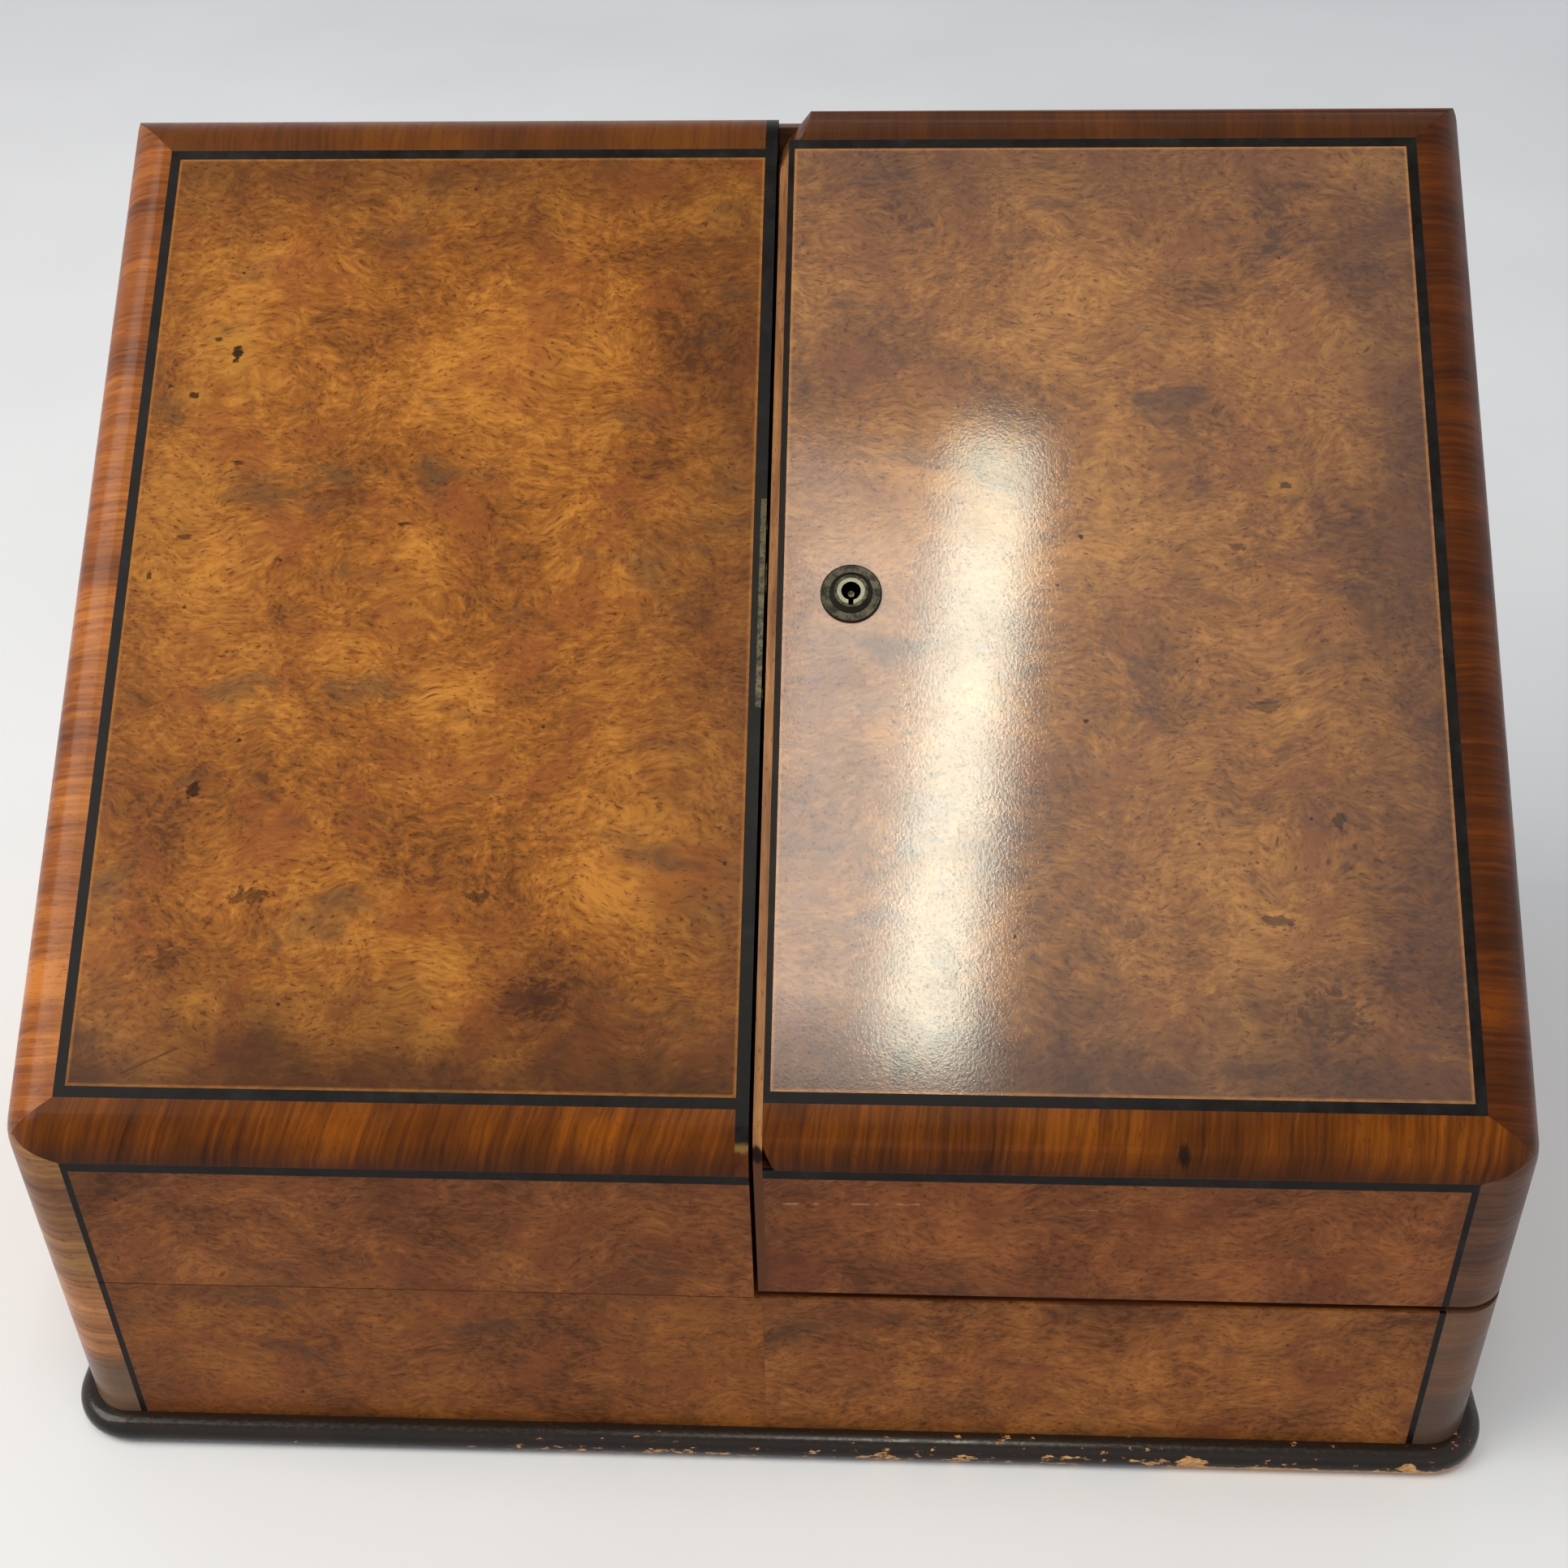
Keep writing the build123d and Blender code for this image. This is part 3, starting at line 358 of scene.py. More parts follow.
@dataclass(frozen=True)
class BurrWalnut(Finish):
    """French-polished burr walnut veneer: golden clouds, swirled figure, fine dark dashes and eyes.

    The polish lies smooth over a thin veneer, so the eye gets a sharp but slightly grainy
    reflection over warm clouds, dashes where fibres turn into the face, and dark buds. Real
    fibres are finer than the render shows, so dashes and grit are drawn 0.85 mm long.
    """

    node: str
    plane: Plane
    tones: Tones = Tones("#5E3514", "#94591F", "#BC7C30")
    rust: str = "#8A4A22"
    stain: str = "#54402A"
    rims: Rims = Rims()
    seed: float = 0.0
    knots: tuple[Knot, ...] = ()
    scratches: tuple[Scratch, ...] = ()
    polish: float = 0.06
    sheen: float = 0.08
    haze: float = 0.38
    border: float = 0.0
    ring: str = "#4E2810"
    dash: str = "#4A280F"
    bud: str = "#2A160B"
    hole: str = "#24140C"
    glow: str = "#B07A2E"
    bare_edge: str = "#B87628"

    def figure(self, add: Adder, where: Any) -> tuple[Any, Any, Any]:
        """Colour of the veneer's figure.

        Args:
            add: Adds a node to the tree.
            where: Socket of the face's coordinates, moved by the seed.

        Returns:
            The sockets of the colour, the mottling and the finest grit.
        """
        drift = add(Kind.NOISE, sized(where, 42.0, 3.0), out="Color")
        warped = add(Kind.STRETCH_SHIFT, drift, (0.027, 0.027, 0.0), where)
        clouds = add(Kind.NOISE, sized(warped, 46.0, 3.0, 0.55))
        patches = add(Kind.NOISE, sized(warped, 10.0, 4.0, 0.62))
        drawn = add(Kind.STRETCH, warped, (0.55, 1.0, 1.0))
        mottle = add(Kind.NOISE, {**sized(drawn, 1.8, 3.0, 0.62), "Distortion": 0.3})
        grit = add(Kind.NOISE, sized(drawn, 0.85, 2.0, 0.6))
        tone: Any = -1.2
        for layer, share in ((clouds, 1.3), (patches, 0.6), (mottle, 0.95), (grit, 0.55)):
            tone = add(Kind.TIMES_PLUS, layer, share, tone)
        colour = add(Kind.RAMP, tone, stops=zip((0.12, 0.5, 0.86), self.tones))
        flush = add(Kind.SPREAD, add(Kind.NOISE, sized(warped, 24.0, 4.0, 0.6)), 0.48, 0.68, 0.0, 0.6)
        lying = add(Kind.STRETCH, warped, (0.5, 1.0, 1.0))
        stain = add(Kind.SPREAD, add(Kind.NOISE, sized(lying, 21.0, 4.0, 0.6)), 0.55, 0.72, 0.0, 0.62)
        rings = add(Kind.TIMES, add(Kind.NOISE, sized(warped, 26.0)), 30.0)
        rings = add(Kind.SPREAD, add(Kind.SIZE, add(Kind.SINE, rings)), 0.16, 0.0, 0.0, 0.3)
        some = add(Kind.SPREAD, add(Kind.NOISE, sized(where, 30.0)), 0.5, 0.62)
        rings = add(Kind.TIMES, rings, some)
        dashes = add(Kind.SPREAD, grit, 0.4, 0.27, 0.0, 0.75)
        buds = add(Kind.TIMES_PLUS, grit, 0.25, add(Kind.CELLS, sized(warped, 5.5, 0.0)))
        buds = add(Kind.SPREAD, buds, 0.235, 0.17, 0.0, 0.85)
        crowd = add(Kind.SPREAD, add(Kind.NOISE, sized(where, 17.0)), 0.6, 0.7)
        buds = add(Kind.TIMES, buds, crowd)
        dots = add(Kind.TIMES_PLUS, grit, 0.03, add(Kind.CELLS, sized(where, 19.0, 0.0)))
        buds = add(Kind.MOST, buds, add(Kind.SPREAD, dots, 0.05, 0.034, 0.0, 0.85))
        masks = (flush, stain, rings, dashes, buds)
        for mask, code in zip(masks, (self.rust, self.stain, self.ring, self.dash, self.bud)):
            colour = add(Kind.MIX, {FACTOR: mask, UNDER: colour, OVER: code})
        return colour, mottle, grit

    def darkened(self, add: Adder, face: Face, flat: Any, colour: Any, mottle: Any) -> Any:
        """Colour with its darkened rims and its thin worn border.

        Args:
            add: Adds a node to the tree.
            face: The face.
            flat: Socket of the face's coordinates.
            colour: Socket of the figure's colour.
            mottle: Socket of the mottling, which breaks the border.

        Returns:
            The socket of the colour.
        """
        wave = add(Kind.TIMES_PLUS, add(Kind.NOISE, sized(flat, 30.0, 3.0, 0.6)), 0.07, -0.035)
        sides = (
            ("X", 1.0, face.half_across, self.rims.left),
            ("X", -1.0, face.half_across, self.rims.right),
            ("Y", 1.0, face.half_along, self.rims.bottom),
            ("Y", -1.0, face.half_along, self.rims.top),
        )
        dark: Any = 0.0
        nearest: Any = 1.0
        for way, sign, half, strength in sides:
            inset = add(Kind.TIMES_PLUS, add(Kind.SPLIT, flat, out=way), sign, half)
            nearest = add(Kind.LEAST, nearest, inset)
            rim = add(Kind.SPREAD, add(Kind.PLUS, inset, wave), self.rims.reach_mm * MM, -0.01, 0.0, strength)
            dark = add(Kind.MOST, dark, rim)
        worn = add(Kind.SPREAD, nearest, 0.0011, 0.0003, 0.0, self.border)
        worn = add(Kind.TIMES, worn, add(Kind.SPREAD, mottle, 0.35, 0.6, 0.6, 1.0))
        for mask, code in ((dark, self.rims.code), (worn, self.bare_edge)):
            colour = add(Kind.MIX, {FACTOR: mask, UNDER: colour, OVER: code})
        return colour

    def knotted(self, add: Adder, flat: Any, colour: Any, breaks: tuple[Any, Any]) -> tuple[Any, Any]:
        """Colour with the knots that have a known place.

        Args:
            add: Adds a node to the tree.
            flat: Socket of the face's coordinates.
            colour: Socket of the colour so far.
            breaks: Sockets of the mottling and grit that break the outlines.

        Returns:
            The sockets of the colour and of the mask of the holes.
        """
        mottle, grit = breaks
        jagged = add(Kind.TIMES_PLUS, mottle, 2.4, add(Kind.TIMES_PLUS, grit, 1.4, -1.9))
        holes: Any = 0.0
        for knot in self.knots:
            away = knot.distance(add, flat)
            if knot.halo:
                ring = add(Kind.SPREAD, away, 4.5, 1.4, 0.0, knot.halo)
                colour = add(Kind.MIX, {FACTOR: ring, UNDER: colour, OVER: self.glow})
            away = add(Kind.PLUS, away, jagged)
            holes = add(Kind.MOST, holes, add(Kind.SPREAD, away, 1.25, 0.7, 0.0, knot.depth))
        return add(Kind.MIX, {FACTOR: holes, UNDER: colour, OVER: self.hole}), holes

    def scratched(self, add: Adder, flat: Any, colour: Any, mottle: Any) -> Any:
        """Colour with the scratches that have a known place.

        Args:
            add: Adds a node to the tree.
            flat: Socket of the face's coordinates.
            colour: Socket of the colour so far.
            mottle: Socket of the mottling, which breaks the lines.

        Returns:
            The socket of the colour.
        """
        for scratch in self.scratches:
            start = Vector((*scratch.start, 0.0)) * MM
            run = Vector((*scratch.end, 0.0)) * MM - start
            side = Vector((-run.y, run.x, 0.0)) / run.length
            away = add(Kind.AWAY_FROM, flat, start)
            down = add(Kind.ALONG, away, run / run.length)
            mask = add(Kind.SPREAD, add(Kind.SIZE, add(Kind.ALONG, away, side)), scratch.width * MM, 0.0)
            starts = add(Kind.SPREAD, down, 0.0, MM)
            ends = add(Kind.SPREAD, down, run.length, run.length - MM, 0.0, scratch.strength)
            mask = add(Kind.TIMES, mask, add(Kind.TIMES, starts, ends))
            if scratch.broken:
                gaps = add(Kind.SPREAD, add(Kind.NOISE, sized(flat, scratch.broken)), 0.5, 0.58)
                mask = add(Kind.TIMES, mask, gaps)
            mask = add(Kind.TIMES, mask, add(Kind.SPREAD, mottle, 0.35, 0.5, 0.4, 1.0))
            colour = add(Kind.MIX, {FACTOR: mask, UNDER: colour, OVER: scratch.code})
        return colour

    def surface(self, add: Adder) -> Settings:
        """Nodes of the veneer and its polish.

        Args:
            add: Adds a node to the tree.

        Returns:
            What the shader's sockets take.
        """
        face = face_of(self.node, self.plane)
        flat = face.coordinates(add)
        where = add(Kind.SHIFT, flat, (self.seed, self.seed * 0.7, 0.0))
        colour, mottle, grit = self.figure(add, where)
        colour = self.darkened(add, face, flat, colour, mottle)
        colour, holes = self.knotted(add, flat, colour, (mottle, grit))
        rubbed = add(Kind.NOISE, sized(where, 15.0, 4.0, 0.6))
        rough = add(Kind.SPREAD, rubbed, 0.3, 0.7, self.haze - 0.05, self.haze + 0.08)
        # The grain stands a hundredth of a millimetre under the polish, and holes go deeper
        grain = add(Kind.TIMES_PLUS, grit, 0.000012, add(Kind.TIMES, holes, -0.00004))
        skin = add(Kind.NOISE, sized(where, 0.8, 2.0, 0.7))
        return {
            "Base Color": self.scratched(add, flat, colour, mottle),
            "Roughness": add(Kind.TIMES_PLUS, holes, 0.3, rough),
            "Normal": add(Kind.BUMP, {"Height": grain, **TRUE_HEIGHT}),
            "IOR": CLEAR_IOR,
            "Specular IOR Level": self.sheen,
            "Coat Weight": add(Kind.SPREAD, skin, 0.3, 0.46, 0.6 * self.polish, self.polish),
            "Coat Roughness": add(Kind.SPREAD, rubbed, 0.35, 0.7, 0.04, 0.085),
            "Coat Normal": add(Kind.BUMP, {"Height": add(Kind.TIMES, skin, 0.000013), **TRUE_HEIGHT}),
        }


@dataclass(frozen=True)
class CrossGrainWalnut(Finish):
    """Rounded solid walnut moulding with its grain across it, polished: silky amber bars.

    The fibres run across the moulding, so the eye gets close streaks square to its length in
    amber and red-brown; bands by height and one side carry painted shade and painted sheen.
    Real pores are finer, and are drawn 0.6 mm wide so that they show.
    """

    node: str
    plane: Plane
    tones: Tones
    under: str = "#4A1E0A"
    fade: Pair = (0.0, 0.0)
    under_share: float = 0.8
    lean: float = 0.0
    seed: float = 0.0
    polish: float = 0.15
    knots: tuple[Knot, ...] = ()
    painted_grey_sheen: str = ""
    pore: str = "#42200C"
    hole: str = "#1A0904"

    def surface(self, add: Adder) -> Settings:
        """Nodes of the moulding.

        Args:
            add: Adds a node to the tree.

        Returns:
            What the shader's sockets take.
        """
        flat = face_of(self.node, self.plane).coordinates(add)
        turned = add(Kind.TURN, {"Vector": flat, "Rotation": (0.0, 0.0, self.lean)})
        drift = add(Kind.NOISE, sized(turned, 16.0), out="Color")
        drift = add(Kind.STRETCH_SHIFT, drift, (0.0, 0.003, 0.0), turned)
        drift = add(Kind.SHIFT, drift, (self.seed, 0.0, self.seed))
        squeeze = add(Kind.STRETCH, drift, (0.05, 1.0, 0.05))
        streaks = add(Kind.NOISE, sized(squeeze, 1.3, 2.0, 0.6))
        bars = add(Kind.NOISE, sized(squeeze, 8.0, 3.0, 0.55))
        sweep = add(Kind.NOISE, sized(flat, 34.0, 3.0))
        short = add(Kind.STRETCH, drift, (0.22, 1.0, 0.22))
        pores = add(Kind.NOISE, sized(short, 0.6, 2.0, 0.6))
        tone: Any = -0.475
        for layer, share in ((streaks, 0.55), (bars, 0.6), (sweep, 0.8)):
            tone = add(Kind.TIMES_PLUS, layer, share, tone)
        colour = add(Kind.RAMP, tone, stops=zip((0.24, 0.5, 0.76), self.tones))
        layers = [(add(Kind.SPREAD, pores, 0.42, 0.3, 0.0, 0.5), self.pore)]
        # Painted shade and sheen in a band by height: darker on the noses' lower halves, the ridges' tops and
        # the lipping's end, greyer at the base posts' feet
        if self.fade[0] != self.fade[1]:
            height = add(Kind.TIMES_PLUS, streaks, 0.003, add(Kind.SPLIT, add(Kind.PLACE), out="Z"))
            below = add(Kind.SPREAD, height, self.fade[1], self.fade[0], 0.0, self.under_share)
            layers.append((below, self.under))
        if self.painted_grey_sheen:
            # Painted grey sheen on the right-hand post, which faces away from the window
            side = add(Kind.SPLIT, add(Kind.PLACE), out="X")
            layers.append((add(Kind.EVEN_SPREAD, side, 0.0, 0.1, 0.0, 0.75), self.painted_grey_sheen))
        for knot in self.knots:
            away = add(Kind.TIMES_PLUS, streaks, 1.6, add(Kind.PLUS, knot.distance(add, flat), -0.8))
            layers.append((add(Kind.SPREAD, away, 1.3, 0.6, 0.0, knot.depth), self.hole))
        for mask, code in layers:
            colour = add(Kind.MIX, {FACTOR: mask, UNDER: colour, OVER: code})
        rubbed = add(Kind.NOISE, sized(flat, 12.0, 4.0, 0.6))
        grain = add(Kind.TIMES, add(Kind.PLUS, streaks, pores), 0.00001)
        bump = add(Kind.BUMP, {"Height": grain, **TRUE_HEIGHT})
        return {
            "Base Color": colour,
            "Roughness": add(Kind.SPREAD, rubbed, 0.3, 0.7, 0.26, 0.4),
            "Normal": bump,
            "IOR": CLEAR_IOR,
            "Specular IOR Level": 0.08,
            "Coat Weight": self.polish,
            "Coat Roughness": 0.16,
            "Coat Normal": bump,
        }


@dataclass(frozen=True)
class Ebony(Finish):
    """Ebony lines let in flush and polished: near black with a cool grey bloom and fine pores."""

    name: str = "polished_ebony_line"
    worn_below: float = 0.0

    def surface(self, add: Adder) -> Settings:
        """Nodes of the ebony.

        Args:
            add: Adds a node to the tree.

        Returns:
            What the shader's sockets take.
        """
        where = add(Kind.PLACE)
        bloom = add(Kind.NOISE, sized(where, 7.0, 4.0, 0.6))
        pores = add(Kind.NOISE, sized(where, 0.7, 3.0, 0.6))
        colour = add(Kind.RAMP, bloom, stops=((0.3, "#0D0A08"), (0.55, "#151312"), (0.78, "#212224")))
        layers = [(add(Kind.SPREAD, pores, 0.42, 0.3, 0.0, 0.7), "#0C0A09")]
        if self.worn_below:
            # The strip's stain is rubbed to tan at its end, and below it the edge is plain walnut
            height = add(Kind.TIMES_PLUS, bloom, 0.004, add(Kind.SPLIT, where, out="Z"))
            tan = add(Kind.SPREAD, height, self.worn_below + 0.0055, self.worn_below + 0.004)
            plain = add(Kind.SPREAD, height, self.worn_below + 0.0034, self.worn_below + 0.002)
            walnut = add(Kind.RAMP, bloom, stops=((0.3, "#431C08"), (0.7, "#60300C")))
            layers += [(tan, "#7A5C2C"), (plain, walnut)]
        for mask, over in layers:
            colour = add(Kind.MIX, {FACTOR: mask, UNDER: colour, OVER: over})
        return {
            "Base Color": colour,
            "Roughness": add(Kind.SPREAD, bloom, 0.3, 0.7, 0.3, 0.46),
            "Normal": add(Kind.BUMP, {"Height": add(Kind.TIMES, pores, 0.00002), **TRUE_HEIGHT}),
            "Specular IOR Level": 0.12,
        }


@dataclass(frozen=True)
class WornEbonisedWood(Finish):
    """Ebonised softwood foot moulding, handled for a century: black stain rubbed to tan wood.

    The stain is thin, so the eye gets a soft black with a painted grey sheen on its top, and
    small bare flakes along the front and a rubbed lower edge towards the right.
    """

    name: str = "worn_ebonised_foot"
    patches: tuple[Point, ...] = ((0.121, 0.005, 3.6), (0.182, 0.0052, 2.4))
    flake_mm: float = 1.7

    def surface(self, add: Adder) -> Settings:
        """Nodes of the worn moulding.

        Args:
            add: Adds a node to the tree.

        Returns:
            What the shader's sockets take.
        """
        where = add(Kind.PLACE)
        drawn = add(Kind.STRETCH, where, (0.42, 0.8, 1.0))
        run = add(Kind.NOISE, sized(where, 26.0))
        fine = add(Kind.NOISE, sized(drawn, 0.8, 3.0, 0.6))
        side = add(Kind.SPLIT, where, out="X")
        height = add(Kind.SPLIT, where, out="Z")
        wear = add(Kind.NOISE, sized(drawn, self.flake_mm, 4.0, 0.6))
        more = add(Kind.SPREAD, side, -0.1, -0.06, -0.08, 0.02)
        rubbed = add(Kind.MOST, add(Kind.SPREAD, side, 0.108, 0.122), 0.1)
        low = add(Kind.TIMES, add(Kind.SPREAD, height, 0.0046, 0.0022, 0.0, 0.34), rubbed)
        slow = add(Kind.TIMES_PLUS, run, 0.3, -0.15)
        top = add(Kind.SPREAD, height, 0.0052, 0.0068, 0.0, -0.06)
        for change in (add(Kind.PLUS, more, low), slow, top):
            wear = add(Kind.PLUS, wear, change)
        flat = add(Kind.STRETCH, where, (1.0, 0.0, 1.0))
        for across, up, reach in self.patches:
            away = add(Kind.AWAY_FROM, flat, (across, 0.0, up))
            away = add(Kind.STRETCH, away, (per_metre(reach), 0.0, per_metre(self.flake_mm)))
            wear = add(Kind.PLUS, wear, add(Kind.SPREAD, add(Kind.LENGTH, away), 1.5, 0.5, 0.0, 0.3))
        bare = add(Kind.SPREAD, wear, 0.615, 0.64)
        wood = add(Kind.RAMP, fine, stops=((0.3, "#96602E"), (0.55, "#C8955A"), (0.75, "#E0BC88")))
        colour = add(Kind.RAMP, run, stops=((0.3, "#0E0906"), (0.6, "#19100A"), (0.8, "#2A1B10")))
        # Painted grey sheen along the top face of the moulding
        painted_top_sheen = add(Kind.SPREAD, height, 0.0062, 0.0086, 0.0, 0.5)
        halo = add(Kind.SPREAD, wear, 0.55, 0.61, 0.0, 0.7)
        for mask, over in ((painted_top_sheen, "#322820"), (halo, "#3A200F"), (bare, wood)):
            colour = add(Kind.MIX, {FACTOR: mask, UNDER: colour, OVER: over})
        rough = add(Kind.SPREAD, fine, 0.35, 0.65, 0.12, 0.3)
        depth = add(Kind.TIMES_PLUS, fine, 0.00003, add(Kind.TIMES, bare, -0.0002))
        return {
            "Base Color": colour,
            "Roughness": add(Kind.TIMES_PLUS, bare, 0.4, rough),
            "Normal": add(Kind.BUMP, {"Height": depth, **TRUE_HEIGHT}),
            "Specular IOR Level": 0.3,
        }


@dataclass(frozen=True)
class AgedBrass(Finish):
    """Cast and turned brass gone dull: olive-brown patina, brighter where keys and fingers rub."""

    name: str = "aged_brass"
    bright: str = "#9C8450"
    dull: str = "#5A4E30"
    patina: str = "#2A261A"
    cover: float = 0.5
    rubbed_at: Point | None = None
    rubbed_reach: float = 4.9

    def surface(self, add: Adder) -> Settings:
        """Nodes of the brass.

        Args:
            add: Adds a node to the tree.

        Returns:
            What the shader's sockets take.
        """
        where = add(Kind.PLACE)
        blotch = add(Kind.NOISE, sized(where, 2.6, 5.0, 0.65))
        grit = add(Kind.NOISE, sized(where, 0.45, 3.0, 0.7))
        colour = add(Kind.RAMP, blotch, stops=((0.35, self.dull), (0.7, self.bright)))
        dirt = add(Kind.SPREAD, add(Kind.TIMES_PLUS, grit, 0.4, blotch), 0.56 + 0.3 * self.cover, 0.42)
        if self.rubbed_at:
            away = add(Kind.TIMES_PLUS, blotch, 0.0012, add(Kind.DISTANCE, where, self.rubbed_at))
            rubbed = add(Kind.SPREAD, away, (self.rubbed_reach + 0.9) * MM, (self.rubbed_reach + 0.5) * MM)
            colour = add(Kind.MIX, {FACTOR: rubbed, UNDER: colour, OVER: "#5C5B4E"})
            dirt = add(Kind.TIMES, dirt, add(Kind.MOST, add(Kind.MINUS, 1.0, rubbed), 0.25))
        cover = add(Kind.TIMES, dirt, 0.85)
        return {
            "Base Color": add(Kind.MIX, {FACTOR: cover, UNDER: colour, OVER: self.patina}),
            "Metallic": add(Kind.SPREAD, dirt, 0.0, 1.0, 1.0, 0.55),
            "Roughness": add(Kind.SPREAD, dirt, 0.0, 1.0, 0.24, 0.6),
            "Normal": add(Kind.BUMP, {"Height": add(Kind.TIMES, grit, 0.00002), **TRUE_HEIGHT}),
        }


@dataclass(frozen=True)
class PlainWood(Finish):
    """Straight-grained cabinet wood, planed and waxed: long soft bands with short dark pores."""

    grain: Axis
    tones: Tones = Tones("#3E2012", "#5E331C", "#7A4526")
    gloss: float = 0.45
    seed: float = 0.0

    def surface(self, add: Adder) -> Settings:
        """Nodes of the wood.

        Args:
            add: Adds a node to the tree.

        Returns:
            What the shader's sockets take.
        """
        where = add(Kind.SHIFT, add(Kind.PLACE), (self.seed,) * 3)
        long, short = [1.0, 1.0, 1.0], [1.0, 1.0, 1.0]
        long[self.grain.value], short[self.grain.value] = 0.055, 0.16
        drawn = add(Kind.STRETCH, where, long)
        rings = add(Kind.NOISE, {**sized(drawn, 11.0, 3.0, 0.55), "Distortion": 0.5})
        rings = add(Kind.SINE, add(Kind.TIMES, rings, 60.0))
        fibre = add(Kind.NOISE, sized(drawn, 1.4, 4.0, 0.65))
        pores = add(Kind.NOISE, sized(add(Kind.STRETCH, where, short), 0.6))
        tone = add(Kind.TIMES_PLUS, rings, 0.09, add(Kind.TIMES_PLUS, fibre, 0.5, 0.25))
        colour = add(Kind.RAMP, tone, stops=zip((0.28, 0.5, 0.75), self.tones))
        dark = add(Kind.SPREAD, pores, 0.38, 0.28, 0.0, 0.5)
        height = add(Kind.TIMES, add(Kind.PLUS, fibre, pores), 0.00003)
        return {
            "Base Color": add(Kind.MIX, {FACTOR: dark, UNDER: colour, OVER: "#24120A"}),
            "Roughness": add(Kind.SPREAD, fibre, 0.3, 0.7, self.gloss, self.gloss + 0.12),
            "Normal": add(Kind.BUMP, {"Height": height, **TRUE_HEIGHT}),
            "Specular IOR Level": 0.3,
        }


@dataclass(frozen=True)
class InkGlass(Finish):
    """Pressed clear glass of an inkwell: faint green, slightly rippled from its mould."""

    name: str = "pressed_ink_glass"

    def surface(self, add: Adder) -> Settings:
        """Nodes of the glass.

        Args:
            add: Adds a node to the tree.

        Returns:
            What the shader's sockets take.
        """
        where = add(Kind.PLACE)
        ripple = add(Kind.NOISE, sized(where, 9.0))
        smear = add(Kind.NOISE, sized(where, 6.0, 4.0, 0.6))
        return {
            "Base Color": add(Kind.RAMP, smear, stops=((0.3, "#EEF6F2"), (0.7, "#DCEAE4"))),
            "Roughness": add(Kind.SPREAD, smear, 0.35, 0.7, 0.02, 0.16),
            "Normal": add(Kind.BUMP, {"Height": add(Kind.TIMES, ripple, 0.00012), **TRUE_HEIGHT}),
            "IOR": CLEAR_IOR,
            "Transmission Weight": 1.0,
        }


@dataclass(frozen=True)
class DriedInk(Finish):
    """Iron-gall ink drying in a well: blue-black, shiny, with a dull crust at its rim."""

    name: str = "drying_black_ink"

    def surface(self, add: Adder) -> Settings:
        """Nodes of the ink.

        Args:
            add: Adds a node to the tree.

        Returns:
            What the shader's sockets take.
        """
        crust = add(Kind.NOISE, sized(add(Kind.PLACE), 2.4, 4.0, 0.6))
        colour = add(Kind.RAMP, crust, stops=((0.4, "#0A0C16"), (0.65, "#161A28"), (0.8, "#2A2A2E")))
        return {
            "Base Color": colour,
            "Roughness": add(Kind.SPREAD, crust, 0.45, 0.65, 0.06, 0.5),
            "Normal": add(Kind.BUMP, {"Height": add(Kind.TIMES, crust, 0.0001), **TRUE_HEIGHT}),
        }


@dataclass(frozen=True)
class Baize(Finish):
    """Green wool baize on the floor of the wells: matted nap, faded and dusty in patches."""

    name: str = "green_wool_baize"

    def surface(self, add: Adder) -> Settings:
        """Nodes of the baize.

        Args:
            add: Adds a node to the tree.

        Returns:
            What the shader's sockets take.
        """
        where = add(Kind.PLACE)
        fade = add(Kind.NOISE, sized(where, 40.0, 3.0, 0.6))
        nap = add(Kind.NOISE, {**sized(where, 0.9, 5.0, 0.75), "Distortion": 1.5})
        colour = add(Kind.RAMP, fade, stops=((0.3, "#1F3A28"), (0.7, "#3C5A40")))
        tips = add(Kind.SPREAD, nap, 0.45, 0.7, 0.0, 0.5)
        roots = add(Kind.SPREAD, nap, 0.42, 0.25, 0.0, 0.6)
        for mask, code in ((tips, "#5E7A58"), (roots, "#12241A")):
            colour = add(Kind.MIX, {FACTOR: mask, UNDER: colour, OVER: code})
        return {
            "Base Color": colour,
            "Roughness": 0.95,
            "Normal": add(Kind.BUMP, {"Height": add(Kind.TIMES, nap, 0.0004), **TRUE_HEIGHT}),
            "Sheen Weight": 0.4,
            "Sheen Roughness": 0.5,
            "Sheen Tint": "#7E9A76",
        }


@dataclass(frozen=True)
class PaleFloor(Finish):
    """Pale matt floor, with the faintest unevenness, so that it stays behind the box."""

    name: str = "matt_pale_floor"

    def surface(self, add: Adder) -> Settings:
        """Nodes of the floor.

        Args:
            add: Adds a node to the tree.

        Returns:
            What the shader's sockets take.
        """
        tone = add(Kind.NOISE, sized(add(Kind.PLACE), 260.0, 3.0))
        colour = add(Kind.RAMP, tone, stops=((0.3, "#E2E4E7"), (0.7, "#EAECEF")))
        return {"Base Color": colour, "Roughness": 0.9}


